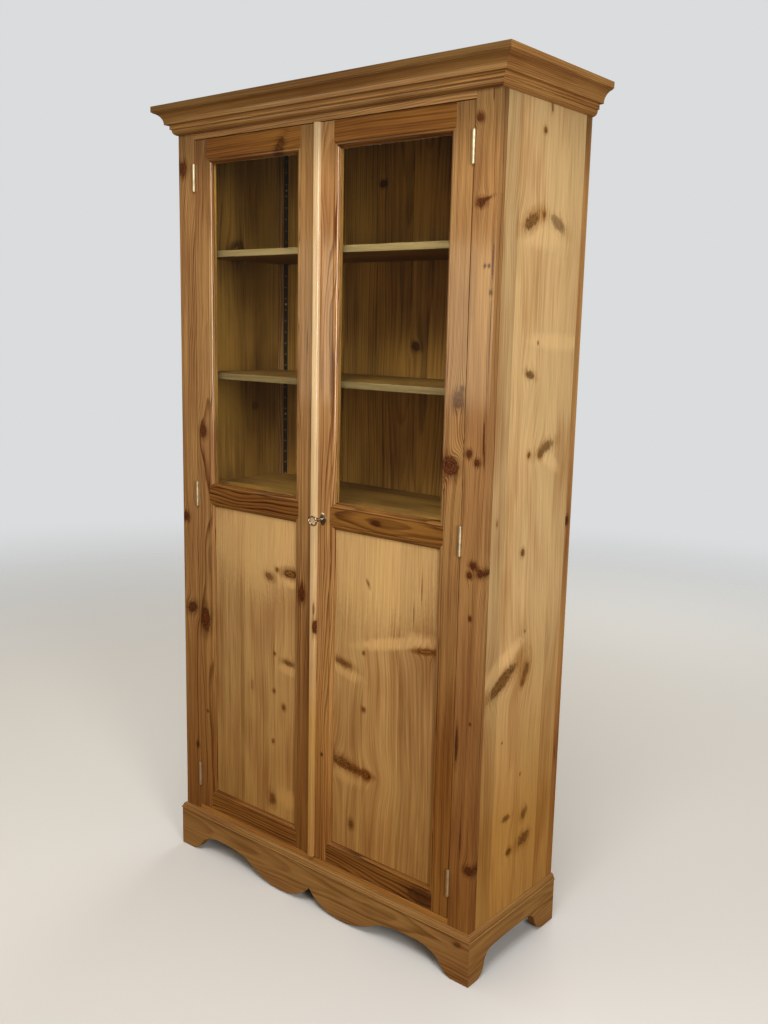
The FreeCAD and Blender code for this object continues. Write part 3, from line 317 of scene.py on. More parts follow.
    # Rings, streaks, clouds and the stain round knots all carry the colour from early to late wood
    deep = add(group, "Math", {0: 0.5, 1: broad}, operation="SUBTRACT")
    deep = add(group, "Math", {0: deep, 1: given["Streak"], 2: late}, operation="MULTIPLY_ADD")
    cloudy = add(group, "Math", {0: 0.5, 1: cloud}, operation="SUBTRACT")
    deep = add(group, "Math", {0: cloudy, 1: given["Cloud"], 2: deep}, operation="MULTIPLY_ADD")
    deep = add(group, "Math", {0: given["Halo"], 1: given["Stain"], 2: deep}, operation="MULTIPLY_ADD")
    deep = add(group, "Math", {0: deep, 1: resting}, operation="ADD", use_clamp=True)
    wood = add(
        group, "Mix", {"Factor": deep, "A": given["Early"], "B": given["Late"]}, data_type="RGBA"
    ).outputs["Result"]
    light = add(group, "Math", {0: fine, 1: fibre_share, 2: 1 - fibre_share / 2}, operation="MULTIPLY_ADD")
    # Paler arrises: partly wax rubbed through, partly a painted highlight along the edges
    light = add(group, "Math", {0: given["Arris"], 1: rubbed_and_lit_share, 2: light}, operation="MULTIPLY_ADD")
    # Pale flares beside knots, and painted light from the wide flares at the panels' tops
    flare_and_painted_light = add(
        group, "MapRange", {"Value": given["Halo"], "From Min": 0.0, "From Max": -1.0, "To Max": flare_and_light_share}
    )
    light = add(group, "Math", {0: light, 1: flare_and_painted_light}, operation="ADD")
    light = add(group, "Math", {0: light, 1: given["Tone"]}, operation="MULTIPLY")
    hue = add(group, "Math", {0: cloudy, 1: -redder, 2: 0.5}, operation="MULTIPLY_ADD")
    wood = add(group, "HueSaturation", {"Hue": hue, "Value": light, "Color": wood})

    # Knots: rings and fibres inside and a dark rim
    mottle = add(
        group, "TexNoise", {"Vector": given["Inner"], "Scale": 1.0, "Detail": 2.0, "Roughness": 0.65}
    )
    wave = add(group, "Math", {0: given["Ring"], 1: knot_rings}, operation="MULTIPLY")
    wave = add(group, "Math", {0: mottle, 1: knot_swirl, 2: wave}, operation="MULTIPLY_ADD")
    wave = add(group, "Math", {0: wave}, operation="SINE")
    wave = add(group, "Math", {0: wave, 1: knot_line, 2: mottle}, operation="MULTIPLY_ADD")
    wave = add(group, "MapRange", {"Value": wave, "From Min": least_mark, "From Max": most_mark})
    inner = add(
        group, "Mix", {"Factor": wave, "A": given["Knot heart"], "B": given["Knot rim"]}, data_type="RGBA"
    ).outputs["Result"]
    edge = add(group, "Math", {0: 1.0, 1: given["Heart"]}, operation="SUBTRACT")
    edge = add(group, "Math", {0: edge, 1: given["Heart"]}, operation="MULTIPLY")
    edge = add(group, "Math", {0: edge, 1: rim_share}, operation="MULTIPLY", use_clamp=True)
    inner = add(group, "Mix", {"Factor": edge, "A": inner, "B": given["Knot rim"]}, data_type="RGBA")
    wood = add(
        group, "Mix", {"Factor": given["Heart"], "A": wood, "B": inner.outputs["Result"]}, data_type="RGBA"
    )

    # Late wood is harder, so it takes more polish. The relief is the planed fibre's alone.
    rough = add(group, "Math", {0: late, 1: late_gloss, 2: gloss}, operation="MULTIPLY_ADD")
    rough = add(group, "Math", {0: fine, 1: fibre_gloss, 2: rough}, operation="MULTIPLY_ADD")
    relief = add(group, "VectorMath", {0: given["Point"], 1: PLANED}, operation="MULTIPLY")
    relief = add(group, "TexNoise", {"Vector": relief, "Scale": 1.0, "Detail": 1.0})
    group.links.new(wood.outputs["Result"], end.inputs["Color"])
    group.links.new(rough.outputs[0], end.inputs["Roughness"])
    group.links.new(relief.outputs[0], end.inputs["Height"])
    return group


# How a board lies: which of the model's axes run across its face, through it and along its grain.
WAYS = {
    "upright front": "XYZ",
    "upright side": "YXZ",
    "level front": "ZYX",
    "level side": "ZXY",
    "shelf": "YZX",
}

# Looks of the boards: palette, how far the pith wanders, ring spacing against the frame's, the
# strength of the rings, of the streaks and of the clouds, and how far painted shade darkens the
# foot, where less light falls; a look without it has no painted cornice shadow either.
LOOKS = {
    "frame": ("frame", 1.0, 1.0, 0.75, 1.5, 0.9, 0.9),
    "straight frame": ("frame", 0.5, 0.75, 0.6, 1.5, 0.9, 0.9),
    "foot-shaded frame": ("frame", 0.5, 0.8, 0.95, 1.6, 0.9, 1.7),
    "dull frame": ("frame", 1.0, 1.0, 0.85, 1.5, 0.9, 0.9),
    "rail": ("rail", 1.0, 1.35, 0.85, 1.3, 0.9, 0.2),
    "calm rail": ("rail", 0.7, 1.2, 0.5, 1.5, 1.1, 0.0),
    "side": ("side", 0.6, 2.2, 0.2, 1.5, 2.1, 1.2),
    "panel": ("panel", 0.5, 1.7, 0.22, 1.6, 1.6, 0.75),
    "bead": ("bead", 0.5, 0.8, 0.45, 1.4, 0.8, 1.7),
    "trim": ("trim", 0.8, 1.1, 0.6, 1.5, 1.0, 0.0),
    "inside": ("inside", 0.8, 1.9, 0.5, 1.5, 1.6, 0.0),
    "shelf": ("shelf", 0.8, 1.6, 0.4, 1.0, 0.8, 0.0),
}

# How much wax each look carries: none on the bare boards inside, some on broad boards, rails and
# mouldings, and a polished coat on the uprights of the face and the doors.
WAX = {
    "frame": 0.9, "straight frame": 0.9, "foot-shaded frame": 0.9, "dull frame": 0.4, "bead": 1.0,
    "rail": 0.5, "calm rail": 0.5, "side": 0.4, "panel": 0.4, "trim": 0.45, "inside": 0.0, "shelf": 0.0,
}

# Boards lighter or darker than their look, partly as they came off the saw and partly as painted light and
# shade, where a board stood brighter or darker in the light.
TONES = {
    "left_door_hinge_stile": 0.72, "left_face_stile": 0.76, "left_door_meeting_stile": 0.71,
    "right_door_meeting_stile": 0.94, "right_door_hinge_stile": 0.75, "right_face_stile": 0.78,
    "cornice_right": 1.3, "cornice_front": 0.85, "top_face_rail": 1.1,
    "left_door_top_rail": 0.78, "right_door_top_rail": 0.76, "back_boards": 1.4,
    "left_door_lock_rail": 0.94, "right_door_lock_rail": 0.97, "left_door_bottom_rail": 1.1,
    "left_door_panel": 0.86, "right_door_panel": 0.9, "upper_shelf": 0.82, "middle_shelf": 0.72,
}

# Tones of the boards of a jointed piece from its first glue line on, and those that the other
# jointed pieces take in turn. The tongued back boards vary at random, between two tones.
BOARD_TONES = {"right_side": (0.78, 1.0, 0.97, 0.93)}
TONES_IN_TURN = (0.9, 0.97, 1.04)
BACK_BOARD_TONES = (0.88, 1.08)

# Bands of painted light and shade on a moulding, paler on the cornice's bead and darker on its top fillet:
# from and to which height in metres, and the tone.
LIT_AND_SHADED_BANDS = {
    "cornice_front": ((1.9460, 1.9566, 1.3), (1.9862, 2.001, 0.55)),
    "cornice_right": ((1.9460, 1.9566, 1.1), (1.9862, 2.001, 0.85)),
}

# Knots: across and along the grain in metres, half width, length against width, turn in degrees
# and how dark. Long thin ones are resin streaks and shakes, and a darkness below nothing makes a
# pale flare in the wood beside a knot. The two wide flares at the top of the door panels are
# painted light, where the panels stood paler in the light from above.
KNOTS = {
    "right_side": [
        (-0.027, 1.691, 0.037, 0.42, -30, 0.85), (0.080, 1.694, 0.041, 0.36, 23, 0.6),
        (0.022, 1.707, 0.007, 1.1, 0, 0.7), (0.012, 1.876, 0.007, 1.0, 0, 0.95),
        (0.035, 1.926, 0.004, 3.0, 0, 0.8), (0.021, 1.441, 0.0035, 1.2, 0, 0.7),
        (-0.005, 1.373, 0.020, 0.5, 20, 0.9), (0.074, 1.211, 0.036, 0.38, -18, 0.75),
        (0.052, 1.196, 0.012, 0.8, 20, 0.7), (0.0055, 1.199, 0.007, 1.2, 0, 0.9),
        (-0.001, 0.981, 0.009, 1.1, 0, 0.95), (-0.110, 1.061, 0.004, 2.0, 0, 0.5),
        (-0.062, 0.697, 0.071, 0.27, -27, 0.9), (0.036, 0.700, 0.014, 1.5, 25, 0.8),
        (0.024, 0.674, 0.009, 1.5, 20, 0.65), (0.024, 0.795, 0.0035, 1.0, 0, 0.6),
        (-0.052, 0.549, 0.0035, 1.0, 0, 0.55), (0.032, 0.446, 0.004, 1.2, 0, 0.6),
        (-0.021, 0.354, 0.019, 0.5, 0, 0.75), (0.057, 0.339, 0.013, 1.4, 35, 0.65),
        (0.060, 0.273, 0.028, 0.6, -15, 0.8), (-0.004, 0.264, 0.013, 0.75, 0, 0.85),
        (0.105, 1.443, 0.070, 0.17, 2, -0.6), (0.090, 1.183, 0.034, 0.3, 32, -0.6),
        (-0.075, 0.733, 0.066, 0.2, -27, -0.7), (0.022, 1.664, 0.05, 0.35, 0, -0.4),
    ],
    "left_side": [
        (0.05, 0.42, 0.0195, 0.8, 0, 0.8), (-0.04, 1.02, 0.0143, 0.9, 15, 0.85),
        (0.09, 1.24, 0.0078, 1, 0, 0.8), (0.02, 1.66, 0.0234, 0.7, -20, 0.85),
        (-0.08, 1.80, 0.0065, 1.2, 0, 0.9), (0.08, 0.74, 0.0052, 1.4, 0, 0.7),
    ],
    "right_face_stile": [
        (0.4385, 1.880, 0.0097, 0.8, 30, 0.95), (0.449, 1.7176, 0.0104, 0.85, 10, 1.0),
        (0.459, 1.722, 0.0033, 5.0, 70, 0.7), (0.463, 1.593, 0.0033, 1.2, 0, 0.9),
        (0.473, 1.593, 0.0029, 1.6, 0, 0.8), (0.482, 1.600, 0.0022, 17, 0, 0.85),
        (0.480, 1.540, 0.0039, 1.3, 0, 0.8), (0.482, 1.455, 0.0010, 80, 0, 0.85),
        (0.441, 1.210, 0.0075, 1.2, 0, 1.0), (0.462, 1.193, 0.007, 1.1, 0, 1.0),
        (0.4765, 1.245, 0.0018, 20, 0, 0.85), (0.4800, 1.205, 0.0014, 16, 0, 0.7),
        (0.462, 0.973, 0.0091, 0.9, 0, 0.95), (0.4535, 0.950, 0.0075, 1.0, 0, 1.0),
        (0.4815, 0.959, 0.0091, 1.1, 15, 0.95), (0.459, 0.856, 0.0039, 1.6, 0, 0.9),
        (0.4815, 0.276, 0.013, 0.8, -15, 1.0), (0.436, 0.562, 0.0042, 9, 0, 0.85),
        (0.4690, 1.921, 0.0012, 12, 0, 0.7), (0.470, 0.62, 0.0026, 1.5, 0, 0.6),
        (0.455, 0.34, 0.0015, 20, 0, 0.5),
    ],
    "right_door_hinge_stile": [
        (0.4085, 1.3205, 0.0137, 1.35, 0, 1.0), (0.3925, 1.1795, 0.024, 0.9, 25, 1.0),
        (0.418, 1.345, 0.0039, 1.6, 0, 0.8),
    ],
    "left_door_hinge_stile": [
        (-0.4030, 1.1895, 0.0123, 1.35, 0, 1.0), (-0.4020, 0.680, 0.0195, 1.75, 0, 1.0),
        (-0.397, 0.42, 0.0039, 1.3, 0, 0.7),
    ],
    "left_face_stile": [
        (-0.476, 1.851, 0.0169, 1.0, 0, 0.95), (-0.478, 0.953, 0.013, 0.9, 0, 0.95),
        (-0.456, 0.704, 0.0221, 0.7, -25, 0.85), (-0.44, 0.31, 0.0065, 1.2, 0, 0.8),
    ],
    "left_door_meeting_stile": [(-0.0425, 0.817, 0.0107, 1.9, 0, 1.0), (-0.03, 1.43, 0.002, 14, 0, 0.5)],
    "right_door_meeting_stile": [(0.030, 0.42, 0.0039, 1.4, 0, 0.8), (0.018, 1.36, 0.0018, 30, 0, 0.6)],
    "cover_bead": [(0.0085, 0.745, 0.0059, 3.2, 0, 1.0), (0.006, 0.79, 0.0026, 6.0, 0, 0.6)],
    "left_door_panel": [
        (-0.166, 0.839, 0.017, 0.6, 15, 0.85), (-0.138, 0.861, 0.006, 1.0, 0, 0.9),
        (-0.092, 0.857, 0.027, 0.45, 0, 0.95), (-0.145, 0.638, 0.0045, 1.2, 0, 0.85),
        (-0.095, 0.624, 0.020, 0.36, 8, 0.8), (-0.148, 0.538, 0.005, 1.2, 0, 0.8),
        (-0.229, 0.535, 0.006, 3.0, 0, 0.35), (-0.112, 0.502, 0.007, 1.2, 0, 0.8),
        (-0.151, 0.400, 0.005, 1.4, 0, 0.8), (-0.152, 0.238, 0.014, 1.4, 0, 0.8),
        (-0.073, 0.838, 0.030, 0.35, 0, -0.6), (-0.086, 0.606, 0.026, 0.35, 0, -0.6),
        # Painted light: the last, wide flare pales the top of the panel, where more light fell
        (-0.098, 0.255, 0.032, 0.5, 0, -0.6), (-0.20, 0.955, 0.13, 0.75, 0, -0.7),
    ],
    "right_door_panel": [
        (0.090, 0.669, 0.030, 0.30, 12, 0.8), (0.1535, 0.708, 0.004, 1.2, 0, 0.8),
        (0.1568, 0.568, 0.006, 1.1, 0, 0.85), (0.163, 0.880, 0.004, 3.0, -30, 0.6),
        (0.092, 0.413, 0.037, 0.42, 12, 0.85), (0.171, 0.404, 0.015, 0.7, 0, 0.9),
        (0.140, 0.408, 0.034, 0.2, 3, 0.75), (0.321, 0.895, 0.0016, 22, 0, 0.7),
        (0.338, 0.752, 0.029, 0.17, -9, 1.0), (0.122, 0.262, 0.008, 1.5, 0, 0.8),
        (0.30, 0.83, 0.0016, 14, 0, 0.5), (0.235, 0.748, 0.068, 0.13, -14, -0.8),
        (0.335, 0.776, 0.034, 0.3, 0, -0.5), (0.100, 0.650, 0.034, 0.3, 12, -0.5),
        # Painted light: the last, wide flare pales the top of the panel, where more light fell
        (0.095, 0.386, 0.042, 0.3, 8, -0.5), (0.19, 0.945, 0.15, 0.65, 0, -0.5),
    ],
    "left_door_top_rail": [(1.866, -0.128, 0.013, 2.6, 62, 0.65)],
    "right_door_lock_rail": [(1.026, 0.190, 0.0052, 2.2, 0, 0.8)],
    "right_door_bottom_rail": [(0.160, 0.352, 0.0208, 2.2, 0, 0.6)],
    "plinth_front": [(0.092, 0.464, 0.0065, 1.6, 0, 0.5)],
    "right_rear_post": [(0.185, 1.029, 0.0078, 1.4, 0, 1.0), (0.19, 0.45, 0.002, 10, 0, 0.6)],
    "back_boards": [
        (-0.30, 1.52, 0.016, 0.8, 0, 0.8), (-0.36, 1.14, 0.011, 0.8, 0, 0.8),
        (0.02, 1.42, 0.014, 0.8, 20, 0.8), (0.26, 1.21, 0.012, 0.7, 0, 0.85),
        (0.32, 1.76, 0.016, 1.2, 15, 0.85), (-0.10, 1.83, 0.011, 0.9, 0, 0.8),
        (0.10, 0.52, 0.017, 0.8, 0, 0.8), (-0.22, 0.38, 0.013, 0.8, 0, 0.85),
        (0.33, 0.72, 0.010, 1.0, 0, 0.8),
    ],
}

# Of pale and of darker boards: palette, how strongly the wood round a knot is stained, how far out
# its middle is solid and how far its edge is bitten, in half widths.
PALE_KNOTS = ("pale_knot", 0.6, 0.5, 1.5)
DARK_KNOTS = ("knot", 0.5, 0.75, 1.0)

# Glue lines of what is jointed up from several boards, across the face in metres, the width of the
# tongued back boards, how far apart neighbours lay in the log, and how far apart their piths lie.
GLUE_LINES = {
    "right_side": (-0.078, 0.016, 0.115),
    "left_side": (-0.06, 0.05),
    "left_door_panel": (-0.258, -0.146),
    "right_door_panel": (0.154, 0.262),
    "bottom_board": (-0.02, 0.09),
    "lower_shelf": (0.0, 0.10),
    "fixed_shelf": (-0.03, 0.08),
    "top_board": (-0.01, 0.09),
    "upper_shelf": (0.04,),
    "middle_shelf": (0.03,),
}
BACK_BOARD = 0.11425
LEAP = (7.3, 3.1, 5.7)
PITH_SPREAD = (0.16, 0.05, 0)

# Wooden pieces: look, the way the grain runs, the rounding of the edges, and where the pith lies
# from the middle of the piece, across its face and behind it, in metres.
WOODEN = {
    "left_side": ("side", "upright side", "board_arris", (0.03, -0.09)),
    "right_side": ("side", "upright side", "board_arris", (0.02, -0.075)),
    "left_face_stile": ("frame", "upright front", "worn_arris", (0.05, 0.06)),
    "right_face_stile": ("straight frame", "upright front", "worn_arris", (0.11, 0.05)),
    "top_face_rail": ("frame", "level front", "board_arris", (-0.09, 0.05)),
    "bottom_face_rail": ("frame", "level front", "board_arris", (0.08, 0.05)),
    "left_rear_post": ("frame", "upright side", "board_arris", (0.08, 0.05)),
    "right_rear_post": ("frame", "upright side", "board_arris", (0.08, -0.05)),
    "top_board": ("inside", "shelf", "board_arris", (0.02, -0.08)),
    "bottom_board": ("inside", "shelf", "board_arris", (0.02, -0.08)),
    "fixed_shelf": ("inside", "shelf", "board_arris", (-0.03, -0.07)),
    "lower_shelf": ("inside", "shelf", "board_arris", (0.04, -0.07)),
    "upper_shelf": ("shelf", "shelf", "board_arris", (0.01, -0.05)),
    "middle_shelf": ("shelf", "shelf", "board_arris", (-0.02, -0.06)),
    "back_boards": ("inside", "upright front", "board_arris", (0.03, 0.09)),
    "cornice_front": ("trim", "level front", "moulding_arris", (-0.07, 0.06)),
    "cornice_left": ("trim", "level side", "moulding_arris", (-0.07, 0.06)),
    "cornice_right": ("trim", "level side", "moulding_arris", (-0.07, -0.06)),
    "plinth_front": ("trim", "level front", "board_arris", (0.02, 0.08)),
    "plinth_left": ("trim", "level side", "board_arris", (0.02, 0.08)),
    "plinth_right": ("trim", "level side", "board_arris", (0.02, -0.08)),
    "plinth_back": ("inside", "level front", "board_arris", (0.02, 0.08)),
    "base_moulding_front": ("trim", "level front", "moulding_arris", (0.05, 0.05)),
    "base_moulding_left": ("trim", "level side", "moulding_arris", (0.05, 0.05)),
    "base_moulding_right": ("trim", "level side", "moulding_arris", (0.05, -0.05)),
    "corner_blocks": ("inside", "upright front", "board_arris", (0.05, 0.05)),
    "left_door_hinge_stile": ("frame", "upright front", "board_arris", (0.012, 0.055)),
    "left_door_meeting_stile": ("dull frame", "upright front", "board_arris", (-0.07, 0.05)),
    "left_door_top_rail": ("calm rail", "level front", "board_arris", (-0.06, 0.05)),
    "left_door_lock_rail": ("rail", "level front", "board_arris", (0.04, 0.05)),
    "left_door_bottom_rail": ("rail", "level front", "board_arris", (-0.05, 0.05)),
    "left_door_glazing_beads": ("inside", "upright front", "moulding_arris", (0.05, 0.05)),
    "left_door_panel": ("panel", "upright front", "board_arris", (0.03, 0.09)),
    "right_door_hinge_stile": ("foot-shaded frame", "upright front", "board_arris", (-0.10, 0.05)),
    "right_door_meeting_stile": ("frame", "upright front", "board_arris", (0.03, 0.045)),
    "right_door_top_rail": ("calm rail", "level front", "board_arris", (0.06, 0.05)),
    "right_door_lock_rail": ("rail", "level front", "board_arris", (0.004, 0.040)),
    "right_door_bottom_rail": ("rail", "level front", "board_arris", (-0.05, 0.05)),
    "right_door_glazing_beads": ("inside", "upright front", "moulding_arris", (0.05, 0.05)),
    "right_door_panel": ("panel", "upright front", "board_arris", (-0.04, 0.10)),
    "cover_bead": ("bead", "upright front", "moulding_arris", (0.09, 0.06)),
}
MOULDED = ("cornice", "plinth", "base_moulding", "corner")

# Where the wood changes its look, in metres, and by how much.
SIDE_MIDDLE = 0.4785  # the middle of a side's thickness, from the cabinet's middle
SHELF_EDGE = 0.0012  # how far back the front edge of a loose shelf keeps the shelf's own colours; behind it lies painted shade
CORNICE_SHADOW = (1.76, 1.93)  # heights between which the painted shadow of the cornice closes in below it
FOOT_SHADE_HEIGHTS = (1.0, 0.1)  # heights between which painted shade closes in towards the floor, where less light falls
CORNICE_SHADOW_TONES = (0.9, 0.55)  # tone of pale and of darker boards at the top of the painted cornice shadow
INSIDE_SHADE = 0.8  # painted shade on a side's inner face, inside the closed case
BARE = 0.25  # how much rougher wood is that was never waxed

ARRIS_MARK = "arris"


def merged_copy(node, name):
    """A new piece with a CAD node's shape, its loose triangles merged to whole faces."""
    same_place, same_plane = 1e-6, math.radians(0.5)
    piece = bpy.data.objects.new(name, frame["nodes"][node].data.copy())
    bpy.context.scene.collection.objects.link(piece)
    bpy.ops.object.select_all(action="DESELECT")
    piece.select_set(True)
    bpy.context.view_layer.objects.active = piece
    bpy.ops.object.mode_set(mode="EDIT")
    bpy.ops.mesh.select_all(action="SELECT")
    bpy.ops.mesh.remove_doubles(threshold=same_place)
    bpy.ops.mesh.dissolve_limited(angle_limit=same_plane)
    bpy.ops.object.mode_set(mode="OBJECT")
    piece.data.materials.clear()
    return piece


def round_edges(piece, width, segments):
    """Rounds every sharp edge, marks the new faces and shades the piece smooth."""
    sharp, creased = math.radians(28), math.radians(40)
    bpy.context.view_layer.objects.active = piece
    rounding = piece.modifiers.new("Arris", "BEVEL")
    rounding.width = width
    rounding.segments = segments
    rounding.limit_method = "ANGLE"
    rounding.angle_limit = sharp
    rounding.use_clamp_overlap = True
    rounding.material = 1
    bpy.ops.object.modifier_apply(modifier=rounding.name)
    bpy.ops.object.shade_smooth_by_angle(angle=creased)
    evening = piece.modifiers.new("Flat faces", "WEIGHTED_NORMAL")
    evening.keep_sharp = True
    bpy.ops.object.modifier_apply(modifier=evening.name)
    mark = piece.data.attributes.new(ARRIS_MARK, "FLOAT", "FACE")
    mark.data.foreach_set("value", [float(face.material_index == 1) for face in piece.data.polygons])
    for face in piece.data.polygons:
        face.material_index = 0


def settle(piece, node, material):
    """Gives a piece its material and its body, and lets it stand for a CAD node."""
    piece.data.materials.append(material)
    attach(piece, BODY_OF[node])
    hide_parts(node)


def new_material(name):
    """An empty material. Gives back the material and its node tree."""
    material = bpy.data.materials.new(name)
    material.use_nodes = True
    material.node_tree.nodes.clear()
    return material, material.node_tree


def count_boards(tree, node, face):
    """Which board of a jointed piece a point is on, and the test that each glue line makes."""
    number = None
    passed = []
    for line in GLUE_LINES.get(node, ()):
        passed.append(add(tree, "Math", {0: face, 1: line}, operation="GREATER_THAN"))
        number = add(tree, "Math", {0: passed[-1], 1: number}, operation="ADD") if number else passed[-1]
    if node == "back_boards":
        number = add(tree, "Math", {0: face, 1: BACK_BOARD}, operation="DIVIDE")
        number = add(tree, "Math", {0: number}, operation="FLOOR")
    return number, passed


def shade_boards(tree, node, number, passed, height):
    """How light each board is, with the bands of painted highlight and painted shade on a moulding."""
    tone = TONES.get(node, 1.0)
    if passed:
        turns = [TONES_IN_TURN[(each + len(node)) % 3] for each in range(len(passed) + 1)]
        shades = BOARD_TONES.get(node, turns)
        whole, tone = tone, tone * shades[0]
        for past, before, after in zip(passed, shades, shades[1:]):
            tone = add(
                tree, "Math", {0: past, 1: whole * (after - before), 2: tone}, operation="MULTIPLY_ADD"
            )
    elif number:
        darkest, lightest = (tone * share for share in BACK_BOARD_TONES)
        # Another number than the one that moves the board's pith, so that the two are not tied
        shade = add(tree, "Math", {0: number, 1: 11.5}, operation="ADD")
        shade = add(tree, "TexWhiteNoise", {"W": shade}, noise_dimensions="1D").outputs["Value"]
        tone = add(tree, "MapRange", {"Value": shade, "To Min": darkest, "To Max": lightest})
    # Painted highlight and painted shade, band by band
    for foot, head, share in LIT_AND_SHADED_BANDS.get(node, ()):
        band = add(
            tree, "Math", operation="COMPARE",
            inputs={0: height, 1: (foot + head) / 2, 2: (head - foot) / 2},
        )
        band = add(tree, "Math", {0: band, 1: share - 1, 2: 1.0}, operation="MULTIPLY_ADD")
        tone = add(tree, "Math", {0: band, 1: tone}, operation="MULTIPLY")
    return tone


def mark_knots(tree, node, point, group, core, bite):
    """The marks of all of a board's knots, which each knot takes from the last and adds to."""
    marks = {"Shift": 0.0, "Heart": 0.0, "Halo": 0.0, "Ring": 0.0, "Inner": (0.0, 0.0, 0.0)}
    knots = KNOTS.get(node, ())
    if knots:
        ragged = add(tree, "VectorMath", {0: point, 1: RAGGED}, operation="MULTIPLY")
        ragged = add(tree, "TexNoise", {"Vector": ragged, "Scale": 1.0, "Detail": 4.0, "Roughness": 0.7})
        ragged = add(tree, "Math", {0: ragged, 1: bite, 2: -bite / 2}, operation="MULTIPLY_ADD")
    for at_across, at_along, half, stretch, turn, dark in knots:
        fibre = LYING_ACROSS if stretch < 0.7 else LYING_ALONG if stretch > 1.7 else SAWN_ACROSS
        # Far deeper than any board, so that a knot goes straight through
        size = (half, 1000, half * stretch)
        knot = add(
            tree, "Group", node_tree=group,
            inputs={
                "Point": point, "Rough": ragged, "Place": (at_across, 0, at_along), "Dark": dark,
                "Core": core, "Size": size, "Turn": (0, math.radians(turn), 0),
                "Fibre": (half * fibre[0], 0, half * stretch * fibre[1]), **marks,
            },
        )
        marks = {name: knot.outputs[name] for name in marks}
    return marks


